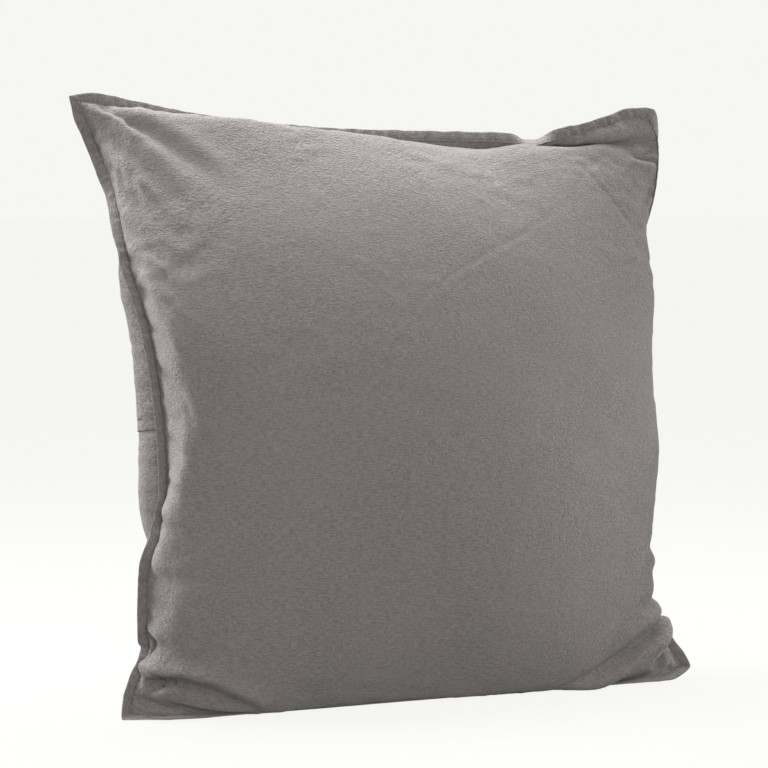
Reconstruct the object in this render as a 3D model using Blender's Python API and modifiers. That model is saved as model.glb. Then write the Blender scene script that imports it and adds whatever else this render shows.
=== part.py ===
"""Square bed pillow standing on its lower edge.

A washed-cotton cover with a narrow flange and an envelope closure at the back holds a filled insert.
X is the width, Y the thickness with the front face towards -Y, and Z is up. The pillow leans back a
little, so its top is nearer +Y. The origin is on the surface that it stands on, in the middle of its box.
"""

import math

import bmesh
import bpy
from mathutils import Vector

# Overall sizes of the filled, standing pillow, in metres.
WIDTH = 0.620  # between the tips of the ears, flange included
HEIGHT = 0.585  # from the surface to the tips of the upper ears, flange included
DEPTH = 0.230  # through the fullest part of the belly, level
LEAN = math.radians(8.0)  # how far the pillow leans back
SIDE_PULL = 0.040  # how far the middle of an edge is drawn in from the line between two ears
FRONT_REST_SHARE = 0.030  # share of the height that the weight presses flat at the bottom of the front
BACK_REST_SHARE = 0.085  # the same at the back, which carries more as the pillow leans

# The cover.
CLOTH = 0.0006
FLANGE_WIDTH = 0.010
FLANGE_THICKNESS = 0.002  # two faces of cloth with their turned seam allowances between them
HEM_EDGE_HEIGHT = 0.270  # where the upper back panel ends
CLOSURE_OVERLAP = 0.110  # how far the lower back panel reaches up behind it
HEM_DEPTH = 0.025
TOPSTITCH_INSET = 0.0015  # from the root of the flange to the topstitch
THREAD_RADIUS = 0.00025
BAR_TACK = (0.012, 0.0016, 0.0008)  # length, width and height of one bar of thread
HEM_BULGE = 0.0002  # how far the hem curves out beneath a bar
BAR_TACK_INSET = 0.020  # from the first column of the grid to the middle of a bar

# The insert.
TICKING = 0.0005

# Clearances between neighbouring layers.
GAP = 0.0003
RIM_STEP = 0.003  # how much smaller each inner layer is at its rim
LIFT_STEP = 0.0015  # how much higher each inner layer rests

TOPSTITCH_START_ROW = 2  # the first row above a lower ear that the topstitch of the sides reaches
COLUMNS = 16
ROWS_BELOW_HEM = 6
ROWS_IN_HEM = 1
ROWS_IN_OVERLAP = 2
ROWS_ABOVE_CLOSURE = 7

PANEL_WIDTH = WIDTH - 2 * (FLANGE_WIDTH + GAP)
PANEL_HEIGHT = HEIGHT - FLANGE_WIDTH - GAP
HALF_DEPTH = DEPTH / 2

# Heights of what lies under the front panel: the flange folded forward, then its topstitch.
FLANGE_LIFT = FLANGE_THICKNESS / 2
FRONT_LIFT = FLANGE_THICKNESS + GAP + 2 * THREAD_RADIUS + GAP

# Depth of each layer below the outer face of the cover, at the fullest part of the belly.
FRONT_TICKING_DEPTH = CLOTH + GAP
LOWER_PANEL_DEPTH = CLOTH + 2 * GAP + 2 * THREAD_RADIUS
BACK_TICKING_DEPTH = LOWER_PANEL_DEPTH + CLOTH + GAP
FRONT_FILL_DEPTH = FRONT_TICKING_DEPTH + TICKING + GAP
BACK_FILL_DEPTH = BACK_TICKING_DEPTH + TICKING + GAP

# Distance of each layer's outer face from the middle plane, at its rim.
TICKING_SEAM = GAP / 2 + TICKING
COVER_SEAM = TICKING_SEAM + GAP + CLOTH
UPPER_PANEL_SEAM = COVER_SEAM + LOWER_PANEL_DEPTH


def clear_scene():
    """Remove whatever the scene holds."""
    for old in list(bpy.data.objects):
        bpy.data.objects.remove(old)


def make_collection(name):
    """Return a new collection linked to the scene."""
    collection = bpy.data.collections.new(name)
    bpy.context.scene.collection.children.link(collection)
    return collection


def make_material(name, colour, roughness):
    """Return a plain cloth or thread material."""
    material = bpy.data.materials.new(name)
    material.use_nodes = True
    shader = material.node_tree.nodes["Principled BSDF"]
    shader.inputs["Base Color"].default_value = (*colour, 1.0)
    shader.inputs["Roughness"].default_value = roughness
    shader.inputs["Metallic"].default_value = 0.0
    return material


def add_object(collection, name, data, material):
    """Link an object with its one material."""
    data.materials.append(material)
    obj = bpy.data.objects.new(name, data)
    collection.objects.link(obj)
    return obj


def belly_height(turn, rest_share):
    """Height, from 0 to 1, of the row at a turn from 0 (bottom seam) to pi (top seam)."""
    full = (1 - math.cos(turn)) / 2
    return max(0.0, (full - rest_share) / (1 - rest_share))


def turn_at(height):
    """Turn of the back's row that lies at a height above the surface, at the middle of the width."""
    share = height / (PANEL_HEIGHT - SIDE_PULL)
    full = share * (1 - BACK_REST_SHARE) + BACK_REST_SHARE
    return math.acos(1 - 2 * full)


def row_turns():
    """Turns of all the rows, with one row on each edge and stitch line of the closure."""
    closure_top = HEM_EDGE_HEIGHT + CLOSURE_OVERLAP
    stops = [0.0]
    stops.append(turn_at(HEM_EDGE_HEIGHT))
    stops.append(turn_at(HEM_EDGE_HEIGHT + HEM_DEPTH))
    stops.append(turn_at(closure_top - HEM_DEPTH))
    stops.append(turn_at(closure_top))
    stops.append(math.pi)
    counts = (ROWS_BELOW_HEM, ROWS_IN_HEM, ROWS_IN_OVERLAP, ROWS_IN_HEM, ROWS_ABOVE_CLOSURE)
    turns = []
    for low, high, count in zip(stops, stops[1:], counts):
        turns += [low + (high - low) * step / count for step in range(count)]
    return turns + [math.pi]


TURNS = row_turns()
UPPER_EDGE_ROW = ROWS_BELOW_HEM
UPPER_STITCH_ROW = UPPER_EDGE_ROW + ROWS_IN_HEM
LOWER_STITCH_ROW = UPPER_STITCH_ROW + ROWS_IN_OVERLAP
LOWER_EDGE_ROW = LOWER_STITCH_ROW + ROWS_IN_HEM
LAST_ROW = len(TURNS) - 1


def leaned(place):
    """A place of the upright pillow, moved to where it is in the leaning one."""
    return Vector((place.x, place.y + place.z * math.tan(LEAN) - MIDDLE, place.z))


class Layer:
    """One curved layer of the pillow: its side, its depth below the cover's face and its rim."""

    def __init__(self, side, depth, rim_steps, lift, seam):
        self.side = side
        self.rest_share = BACK_REST_SHARE if side > 0 else FRONT_REST_SHARE
        self.half_width = PANEL_WIDTH / 2 - rim_steps * RIM_STEP
        self.height = PANEL_HEIGHT - rim_steps * RIM_STEP
        self.half_depth = HALF_DEPTH - seam - depth
        self.lift = lift
        self.seam = seam

    def point(self, column, row, proud=0.0):
        """A place on the outer face of the upright layer, by column and row, or that far proud of it."""
        swing = math.pi * (column / COLUMNS - 0.5)
        turn = TURNS[row]
        across = math.sin(swing)
        on_side_seam = column in (0, COLUMNS)
        share = (1 - math.cos(turn)) / 2 if on_side_seam else belly_height(turn, self.rest_share)
        drawn = SIDE_PULL * (1 - across * across)
        x = across * (self.half_width - SIDE_PULL * math.sin(turn) ** 2)
        z = self.lift + share * (self.height - drawn - self.lift)
        fullness = math.cos(swing) * math.sin(turn)
        y = self.side * (self.seam + proud + self.half_depth * max(fullness, 0.0))
        return Vector((x, y, z))

    def add_face(self, mesh, first_row, last_row):
        """Add the layer's outer face between two rows to a bmesh, pointing outwards."""
        rows = last_row - first_row
        grid = bmesh.ops.create_grid(mesh, x_segments=COLUMNS, y_segments=rows, size=1.0)
        corners = sorted(grid["verts"], key=lambda vertex: (round(vertex.co.y, 5), vertex.co.x))
        for index, vertex in enumerate(corners):
            row, column = divmod(index, COLUMNS + 1)
            vertex.co = leaned(self.point(column, first_row + row))
        faces = {face for vertex in corners for face in vertex.link_faces}
        if self.side < 0:
            return
        bmesh.ops.reverse_faces(mesh, faces=list(faces))


FRONT_COVER = Layer(-1, 0.0, 0, FRONT_LIFT, COVER_SEAM)
BACK_UPPER_COVER = Layer(1, 0.0, 0, 0.0, UPPER_PANEL_SEAM)
BACK_LOWER_COVER = Layer(1, LOWER_PANEL_DEPTH, 1, 0.0, COVER_SEAM)
FRONT_TICKING = Layer(-1, FRONT_TICKING_DEPTH, 2, FRONT_LIFT + LIFT_STEP, TICKING_SEAM)
BACK_TICKING = Layer(1, BACK_TICKING_DEPTH, 2, LIFT_STEP, TICKING_SEAM)
FILL_LIFT = FRONT_LIFT + 2 * LIFT_STEP
FRONT_FILL = Layer(-1, FRONT_FILL_DEPTH, 3, FILL_LIFT, 0.0)
BACK_FILL = Layer(1, BACK_FILL_DEPTH, 3, FILL_LIFT, 0.0)


def box_middle():
    """Middle, in Y, of the leaning pillow's box, measured from its bottom seam."""
    middle_column = COLUMNS // 2
    reach = []
    for layer in (FRONT_COVER, BACK_UPPER_COVER, BACK_LOWER_COVER):
        places = [layer.point(middle_column, row) for row in range(LAST_ROW + 1)]
        reach += [place.y + place.z * math.tan(LEAN) for place in places]
    return (min(reach) + max(reach)) / 2


MIDDLE = box_middle()


def make_panel(collection, name, layer, rows, thickness, material):
    """A panel of cloth: the layer's face between two rows, thickened inwards."""
    mesh = bmesh.new()
    layer.add_face(mesh, *rows)
    data = bpy.data.meshes.new(name)
    mesh.to_mesh(data)
    mesh.free()
    data.shade_smooth()
    panel = add_object(collection, name, data, material)
    wall = panel.modifiers.new("Cloth", "SOLIDIFY")
    wall.thickness = thickness
    wall.offset = -1.0
    return panel


def make_filling(collection, material):
    """The filling: one closed form between the two sides of the ticking."""
    mesh = bmesh.new()
    FRONT_FILL.add_face(mesh, 0, LAST_ROW)
    BACK_FILL.add_face(mesh, 0, LAST_ROW)
    bmesh.ops.remove_doubles(mesh, verts=mesh.verts, dist=0.0001)
    data = bpy.data.meshes.new("insert_filling")
    mesh.to_mesh(data)
    mesh.free()
    data.shade_smooth()
    return add_object(collection, "insert_filling", data, material)


def seam_loop():
    """Places on the upright cover's seam, once round: up the left, along, down the right, back below."""
    steps = [(0, row) for row in range(LAST_ROW)]
    steps += [(column, LAST_ROW) for column in range(COLUMNS)]
    steps += [(COLUMNS, row) for row in range(LAST_ROW, 0, -1)]
    steps += [(column, 0) for column in range(COLUMNS, 0, -1)]
    loop = []
    for column, row in steps:
        place = FRONT_COVER.point(column, row)
        loop.append((Vector((place.x, 0.0, place.z)), column, row))
    return loop


def flange_rays():
    """For each point of the seam: the flange's root, the ways it points and faces, its column and row."""
    loop = seam_loop()
    rays = []
    for index, (place, column, row) in enumerate(loop):
        before = loop[index - 1][0]
        after = loop[(index + 1) % len(loop)][0]
        along = (after - before).normalized()
        outward = Vector((-along.z, 0.0, along.x))
        front = Vector((0.0, -1.0, 0.0))
        sideways = Vector((1.0 if column else -1.0, 0.0, 0.0))
        at_ear = column in (0, COLUMNS)
        if at_ear and row == 0:
            outward = sideways + Vector((0.0, -1.0, 0.0))
        elif at_ear and row == LAST_ROW:
            outward = sideways + Vector((0.0, 0.0, 1.0))
        elif row == 0:
            outward = Vector((0.0, -1.0, 0.0))
            front = Vector((0.0, 0.0, 1.0))
        root = place + outward * GAP
        if row == 0:
            root.z = FLANGE_LIFT
        rays.append((root, outward, front, column, row))
    return rays


def make_flange(collection, material):
    """The flange: a doubled band round the seam, folded forward under the pillow at the bottom."""
    rays = flange_rays()
    mesh = bmesh.new()
    grid = bmesh.ops.create_grid(mesh, x_segments=1, y_segments=len(rays), size=1.0)
    corners = sorted(grid["verts"], key=lambda vertex: (round(vertex.co.y, 5), vertex.co.x))
    for index, vertex in enumerate(corners):
        turn, edge = divmod(index, 2)
        root, outward = rays[turn % len(rays)][:2]
        vertex.co = leaned(root + outward * FLANGE_WIDTH * edge)
    bmesh.ops.remove_doubles(mesh, verts=mesh.verts, dist=0.0001)
    data = bpy.data.meshes.new("flange_band")
    mesh.to_mesh(data)
    mesh.free()
    flange = add_object(collection, "flange_band", data, material)
    wall = flange.modifiers.new("Doubled cloth", "SOLIDIFY")
    wall.thickness = FLANGE_THICKNESS
    wall.offset = 0.0
    wall.use_even_offset = False
    return flange


def make_thread(collection, name, points, material):
    """A line of stitching as one thin thread."""
    data = bpy.data.curves.new(name, "CURVE")
    data.dimensions = "3D"
    data.bevel_depth = THREAD_RADIUS
    data.bevel_resolution = 2
    data.use_fill_caps = True
    line = data.splines.new("POLY")
    line.points.add(len(points) - 1)
    for place, point in zip(points, line.points):
        point.co = (*leaned(place), 1.0)
    return add_object(collection, name, data, material)


def make_topstitches(collection, material):
    """The stitching round the root of the flange, on its front face: one run under the pillow, one over."""
    proud = FLANGE_THICKNESS / 2 + GAP + THREAD_RADIUS
    under = []
    over = []
    for root, outward, front, column, row in flange_rays():
        place = root + outward * TOPSTITCH_INSET + front * proud
        if row >= TOPSTITCH_START_ROW:
            over.append(place)
        elif row == 0 and column not in (0, COLUMNS):
            under.append(place)
    make_thread(collection, "flange_topstitch", over, material)
    make_thread(collection, "flange_topstitch_under", under, material)


def make_hem_stitch(collection, name, layer, row, material):
    """The stitching along a hem of the closure, on the panel's outer face."""
    proud = GAP + THREAD_RADIUS
    points = [layer.point(column, row, proud) for column in range(1, COLUMNS)]
    return make_thread(collection, name, points, material)


def make_bar_tack(collection, name, side, material):
    """A short bar of thread that holds one end of the closure."""
    length, width, height = BAR_TACK
    hem_rows = (UPPER_EDGE_ROW, UPPER_STITCH_ROW)
    outer, inner = [
        sum((BACK_UPPER_COVER.point(column, row) for row in hem_rows), Vector()) / len(hem_rows)
        for column in (1, 2)
    ]
    slope = inner - outer
    middle = outer + slope * (BAR_TACK_INSET / slope.length)
    slope.normalize()
    out = Vector((-slope.y, slope.x, 0.0)).normalized()
    middle += out * (GAP + height / 2 + HEM_BULGE)
    mesh = bmesh.new()
    bar = bmesh.ops.create_cube(mesh, size=1.0)["verts"]
    for vertex in bar:
        size = Vector((vertex.co.x * length, vertex.co.y * height, vertex.co.z * width))
        place = middle + slope * size.x + out * size.y + Vector((0.0, 0.0, size.z))
        vertex.co = leaned(Vector((side * place.x, place.y, place.z)))
    if side < 0:
        bmesh.ops.reverse_faces(mesh, faces=list(mesh.faces))
    data = bpy.data.meshes.new(name)
    mesh.to_mesh(data)
    mesh.free()
    return add_object(collection, name, data, material)


def main():
    """Build the pillow."""
    clear_scene()
    pillow = make_collection("Bed pillow")
    cloth = make_material("washed_cotton", (0.235, 0.205, 0.200), 0.92)
    band = make_material("flange_cotton", (0.260, 0.228, 0.222), 0.92)
    thread = make_material("sewing_thread", (0.300, 0.270, 0.262), 0.75)
    ticking = make_material("ticking", (0.800, 0.790, 0.770), 0.90)
    filling = make_material("filling", (0.860, 0.855, 0.845), 1.00)

    make_panel(pillow, "cover_front_panel", FRONT_COVER, (0, LAST_ROW), CLOTH, cloth)
    make_panel(pillow, "cover_back_upper_panel", BACK_UPPER_COVER, (UPPER_EDGE_ROW, LAST_ROW), CLOTH, cloth)
    make_panel(pillow, "cover_back_lower_panel", BACK_LOWER_COVER, (0, LOWER_EDGE_ROW), CLOTH, cloth)
    make_flange(pillow, band)
    make_topstitches(pillow, thread)
    make_hem_stitch(pillow, "upper_hem_stitch", BACK_UPPER_COVER, UPPER_STITCH_ROW, thread)
    make_hem_stitch(pillow, "lower_hem_stitch", BACK_LOWER_COVER, LOWER_STITCH_ROW, thread)
    make_bar_tack(pillow, "closure_bar_tack_left", 1, thread)
    make_bar_tack(pillow, "closure_bar_tack_right", -1, thread)
    make_panel(pillow, "insert_front_ticking", FRONT_TICKING, (0, LAST_ROW), TICKING, ticking)
    make_panel(pillow, "insert_back_ticking", BACK_TICKING, (0, LAST_ROW), TICKING, ticking)
    make_filling(pillow, filling)


main()
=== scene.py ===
"""Looks of a square bed pillow that stands on its lower edge and leans back a little.

The cover is two square cotton panels sewn together with a narrow doubled flange. Its filled shape comes
from a cloth simulation that starts from the flat cut of the panels. X is the width, -Y the front, Z up.
"""

from __future__ import annotations

import logging
import math
from dataclasses import dataclass, field
from enum import Enum
from typing import Iterable, Sequence

import bmesh
import bpy
import numpy as np
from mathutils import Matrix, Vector

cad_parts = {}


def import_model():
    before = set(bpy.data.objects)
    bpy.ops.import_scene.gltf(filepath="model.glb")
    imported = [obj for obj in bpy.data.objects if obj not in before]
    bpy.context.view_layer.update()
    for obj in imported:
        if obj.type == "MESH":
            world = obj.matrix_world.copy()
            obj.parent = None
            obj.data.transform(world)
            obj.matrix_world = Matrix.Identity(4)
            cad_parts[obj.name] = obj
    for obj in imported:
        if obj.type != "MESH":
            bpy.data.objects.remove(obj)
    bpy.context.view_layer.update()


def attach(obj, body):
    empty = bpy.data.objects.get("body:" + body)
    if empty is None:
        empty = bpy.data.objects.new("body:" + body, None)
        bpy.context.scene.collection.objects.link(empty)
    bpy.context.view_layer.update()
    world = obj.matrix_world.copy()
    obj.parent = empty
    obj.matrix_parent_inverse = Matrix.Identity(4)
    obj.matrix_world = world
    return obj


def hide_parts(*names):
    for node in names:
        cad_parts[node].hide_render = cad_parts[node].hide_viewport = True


LOG = logging.getLogger("pillow")
BODY = "root"
UV_LAYER = "cloth"
Points = np.ndarray
Color = tuple[float, float, float, float]
Socket = bpy.types.NodeSocket


class Side(Enum):
    """The four sewn edges of the cover."""

    LEFT = "left"
    RIGHT = "right"
    BOTTOM = "bottom"
    TOP = "top"


class Face(Enum):
    """The two faces of the cover, with the direction in which each one swells."""

    FRONT = -1.0
    BACK = 1.0


class Slot(Enum):
    """The finishes that the record names."""

    COVER = "cover_cloth"
    FLANGE = "flange_cloth"
    THREAD = "sewing_thread"
    TICKING = "insert_ticking"
    FILLING = "insert_filling"


# ---------------------------------------------------------------------------------------------------
# Small numeric helpers


def smooth(low: float, high: float, value: Points) -> Points:
    """Smooth step from 0 at low to 1 at high."""
    share = np.clip((value - low) / (high - low), 0.0, 1.0)
    return share * share * (3.0 - 2.0 * share)


def unit(vectors: Points) -> Points:
    """The vectors at length 1."""
    length = np.linalg.norm(vectors, axis=-1, keepdims=True)
    return vectors / np.maximum(length, 1e-12)


def cubic_weights(count: int, where: Points) -> Points:
    """Matrix that reads a row of evenly spaced values at other places, smoothly.

    Args:
        count: How many values the row holds, spread over 0 to 1.
        where: The places to read, from 0 to 1.

    Returns:
        One row of weights for each place, with a column for each value.
    """
    place = np.clip(np.asarray(where, float), 0.0, 1.0) * (count - 1)
    cell = np.minimum(place.astype(int), count - 2)
    t = place - cell
    parts = (
        -0.5 * t + t**2 - 0.5 * t**3,
        1.0 - 2.5 * t**2 + 1.5 * t**3,
        0.5 * t + 2.0 * t**2 - 1.5 * t**3,
        -0.5 * t**2 + 0.5 * t**3,
    )
    weights = np.zeros((len(place), count))
    rows = np.arange(len(place))
    for shift, part in zip((-1, 0, 1, 2), parts):
        column = cell + shift
        low = column < 0
        high = column > count - 1
        inside = ~(low | high)
        np.add.at(weights, (rows[inside], column[inside]), part[inside])
        # Past an end, the row goes on in a straight line.
        np.add.at(weights, (rows[low], np.zeros(low.sum(), int)), 2.0 * part[low])
        np.add.at(weights, (rows[low], np.ones(low.sum(), int)), -part[low])
        np.add.at(weights, (rows[high], np.full(high.sum(), count - 1)), 2.0 * part[high])
        np.add.at(weights, (rows[high], np.full(high.sum(), count - 2)), -part[high])
    return weights


def curve_through(knots: Sequence[Sequence[float]], where: Points) -> Points:
    """Smooth curve through knots of (place, value, value...), without overshoot.

    Args:
        knots: Rows of a place followed by the values there, in order of place.
        where: The places to read.

    Returns:
        One row of values for each place.
    """
    table = np.asarray(knots, float)
    x = table[:, 0]
    y = table[:, 1:]
    step = np.diff(x)[:, None]
    slope = np.diff(y, axis=0) / step
    tangent = np.zeros_like(y)
    tangent[0] = slope[0]
    tangent[-1] = slope[-1]
    before = slope[:-1]
    after = slope[1:]
    flat = before * after <= 0.0
    mean = (step[1:] * before + step[:-1] * after) / (step[1:] + step[:-1])
    limit = 3.0 * np.minimum(np.abs(before), np.abs(after))
    tangent[1:-1] = np.where(flat, 0.0, np.sign(mean) * np.minimum(np.abs(mean), limit))
    where = np.clip(where, x[0], x[-1])
    cell = np.clip(np.searchsorted(x, where, side="right") - 1, 0, len(x) - 2)
    width = step[cell]
    t = ((where - x[cell]) / width[:, 0])[:, None]
    h00 = 2 * t**3 - 3 * t**2 + 1
    h10 = t**3 - 2 * t**2 + t
    h01 = -2 * t**3 + 3 * t**2
    h11 = t**3 - t**2
    return h00 * y[cell] + h10 * width * tangent[cell] + h01 * y[cell + 1] + h11 * width * tangent[cell + 1]


def rumple(seed: int, cells: tuple[int, int], u: Points, v: Points) -> Points:
    """Soft seeded bumps over the unit square, of about unit size.

    Args:
        seed: Fixes the pattern.
        cells: How many bumps there are across and up.
        u: Rows of places across, from 0 to 1.
        v: Columns of places up, from 0 to 1.

    Returns:
        One value for each pair of places.
    """
    grid = np.random.default_rng(seed).standard_normal((cells[0] + 1, cells[1] + 1))
    return cubic_weights(cells[0] + 1, u) @ grid @ cubic_weights(cells[1] + 1, v).T


def distance_to_path(path: Sequence[Sequence[float]], u: Points, v: Points) -> tuple[Points, Points]:
    """Signed distance from points of the flat cloth to a path, and how far along the path each one is.

    Args:
        path: Corners of the path on the flat cloth, in metres.
        u: Places across.
        v: Places up.

    Returns:
        The distance, positive to the left of the path, and the share of the path's length.
    """
    corners = np.asarray(path, float)
    lengths = np.linalg.norm(np.diff(corners, axis=0), axis=1)
    total = lengths.sum()
    best = np.full(u.shape, np.inf)
    signed = np.zeros(u.shape)
    along = np.zeros(u.shape)
    start = 0.0
    for a, b, length in zip(corners[:-1], corners[1:], lengths):
        du, dv = (b - a) / length
        run = np.clip((u - a[0]) * du + (v - a[1]) * dv, 0.0, length)
        off_u = u - a[0] - run * du
        off_v = v - a[1] - run * dv
        gap = np.hypot(off_u, off_v)
        nearer = gap < best
        best = np.where(nearer, gap, best)
        signed = np.where(nearer, gap * np.sign(du * off_v - dv * off_u), signed)
        along = np.where(nearer, (start + run) / total, along)
        start += length
    return signed, along


# ---------------------------------------------------------------------------------------------------
# Meshes


def new_object(name: str, mesh: bpy.types.Mesh) -> bpy.types.Object:
    """Puts a mesh into the scene.

    Args:
        name: The name of the object.
        mesh: Its mesh.

    Returns:
        The new object, at the origin.
    """
    piece = bpy.data.objects.new(name, mesh)
    bpy.context.scene.collection.objects.link(piece)
    return piece


def finish_mesh(name: str, work: bmesh.types.BMesh) -> bpy.types.Object:
    """Turns a bmesh into a smooth-shaded object and frees it.

    Args:
        name: The name of the object.
        work: The shape, which is freed.

    Returns:
        The new object.
    """
    mesh = bpy.data.meshes.new(name)
    work.to_mesh(mesh)
    work.free()
    mesh.shade_smooth()
    return new_object(name, mesh)


def sheet_from_points(name: str, points: Points, flat: Points, outward: Vector) -> bpy.types.Object:
    """A sheet made from a plain grid whose vertices go to given places.

    Args:
        name: The name of the piece.
        points: Places in space, shaped (columns, rows, 3).
        flat: Places on the flat cloth in metres, shaped (columns, rows, 2).
        outward: Roughly which way its faces look.

    Returns:
        The new object, with the flat places as its UV map.
    """
    columns, rows = points.shape[:2]
    work = bmesh.new()
    bmesh.ops.create_grid(work, x_segments=columns - 1, y_segments=rows - 1, size=1.0)
    work.loops.layers.uv.new(UV_LAYER)
    mesh = bpy.data.meshes.new(name)
    work.to_mesh(mesh)
    work.free()
    plain = np.empty(len(mesh.vertices) * 3, np.float32)
    mesh.vertices.foreach_get("co", plain)
    plain = plain.reshape(-1, 3)
    column = np.rint((plain[:, 0] + 1.0) / 2.0 * (columns - 1)).astype(int)
    row = np.rint((plain[:, 1] + 1.0) / 2.0 * (rows - 1)).astype(int)
    mesh.vertices.foreach_set("co", points[column, row].astype(np.float32).ravel())
    corners = np.empty(len(mesh.loops), np.int32)
    mesh.loops.foreach_get("vertex_index", corners)
    places = flat[column[corners], row[corners]].astype(np.float32)
    mesh.uv_layers[UV_LAYER].data.foreach_set("uv", places.ravel())
    mesh.update()
    across = points[-1].mean(0) - points[0].mean(0)
    upwards = points[:, -1].mean(0) - points[:, 0].mean(0)
    if np.cross(across, upwards) @ np.array(outward) < 0.0:
        mesh.flip_normals()
    mesh.shade_smooth()
    return new_object(name, mesh)


def thicken(piece: bpy.types.Object, thickness: float) -> None:
    """Gives a sheet its thickness inwards from its outer face.

    Args:
        piece: The sheet.
        thickness: How thick the cloth is.
    """
    solid = piece.modifiers.new("Cloth thickness", "SOLIDIFY")
    solid.thickness = thickness
    solid.offset = -1.0
    solid.use_even_offset = False


# ---------------------------------------------------------------------------------------------------
# The sewn outline


@dataclass(frozen=True)
class CoverSizes:
    """Sizes of the cut and sewn cover, in metres."""

    half: float = 0.315
    flange_width: float = 0.010
    flange_thickness: float = 0.0020
    cloth: float = 0.0006
    lean: float = math.radians(8.0)
    foot: float = -0.030
    hem_edge: float = -0.030
    overlap: float = 0.110
    hem_depth: float = 0.025
    stitch_inset: float = 0.002

    def middle_plane(self, z: Points) -> Points:
        """How far back the leaning middle plane is at a height."""
        return self.foot + math.tan(self.lean) * z


LEFT_KNOTS = (
    # share of the edge, across, height, forward of the leaning plane, roll of the flange in degrees
    (-1.00, -0.295, 0.008, 0.004, 25.0),
    (-0.95, -0.292, 0.022, 0.004, 10.0),
    (-0.90, -0.286, 0.036, 0.004, 0.0),
    (-0.86, -0.278, 0.050, 0.006, -10.0),
    (-0.79, -0.274, 0.072, 0.012, -40.0),
    (-0.72, -0.280, 0.094, 0.020, 5.0),
    (-0.55, -0.281, 0.144, 0.032, 12.0),
    (-0.42, -0.270, 0.184, 0.046, -30.0),
    (-0.30, -0.265, 0.218, 0.054, 12.0),
    (0.00, -0.268, 0.300, 0.058, 18.0),
    (0.25, -0.275, 0.368, 0.054, 18.0),
    (0.50, -0.286, 0.436, 0.038, 10.0),
    (0.68, -0.286, 0.488, 0.018, -45.0),
    (0.80, -0.292, 0.520, 0.006, -10.0),
    (0.90, -0.301, 0.549, 0.000, 0.0),
    (1.00, -0.314, 0.580, 0.000, 0.0),
)
RIGHT_KNOTS = (
    (-1.00, 0.304, 0.018, 0.006, 20.0),
    (-0.92, 0.290, 0.036, 0.002, 0.0),
    (-0.82, 0.276, 0.058, 0.000, -10.0),
    (-0.70, 0.272, 0.090, -0.008, 0.0),
    (-0.40, 0.272, 0.178, -0.026, -10.0),
    (0.00, 0.272, 0.292, -0.036, -25.0),
    (0.30, 0.280, 0.374, -0.030, -45.0),
    (0.55, 0.299, 0.440, -0.014, -62.0),
    (0.75, 0.314, 0.496, -0.002, -65.0),
    (0.90, 0.319, 0.538, 0.000, -60.0),
    (0.97, 0.316, 0.558, 0.000, -35.0),
    (1.00, 0.311, 0.568, 0.000, 0.0),
)
BOTTOM_KNOTS = (
    (-1.00, -0.295, 0.008, 0.004, 25.0),
    (-0.93, -0.272, 0.007, 0.016, 60.0),
    (-0.80, -0.234, 0.007, 0.030, 78.0),
    (-0.50, -0.148, 0.007, 0.030, 82.0),
    (0.00, 0.000, 0.007, 0.024, 82.0),
    (0.50, 0.148, 0.007, 0.022, 82.0),
    (0.80, 0.238, 0.008, 0.016, 78.0),
    (0.93, 0.280, 0.011, 0.010, 60.0),
    (1.00, 0.304, 0.018, 0.006, 20.0),
)
TOP_KNOTS = (
    (-1.00, -0.314, 0.580, 0.000, 0.0),
    (-0.92, -0.290, 0.578, 0.000, -4.0),
    (-0.80, -0.252, 0.571, 0.000, -8.0),
    (-0.62, -0.197, 0.561, 0.000, -10.0),
    (-0.40, -0.129, 0.553, 0.000, -10.0),
    (-0.15, -0.050, 0.547, 0.000, -10.0),
    (0.10, 0.028, 0.545, 0.000, -10.0),
    (0.35, 0.105, 0.544, 0.000, -10.0),
    (0.48, 0.148, 0.543, 0.000, -12.0),
    (0.56, 0.172, 0.540, 0.000, -60.0),
    (0.61, 0.187, 0.543, 0.002, -50.0),
    (0.66, 0.202, 0.547, 0.003, -6.0),
    (0.76, 0.233, 0.553, 0.003, 0.0),
    (0.86, 0.266, 0.562, 0.002, 0.0),
    (0.94, 0.292, 0.569, 0.000, 0.0),
    (1.00, 0.311, 0.568, 0.000, 0.0),
)


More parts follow.
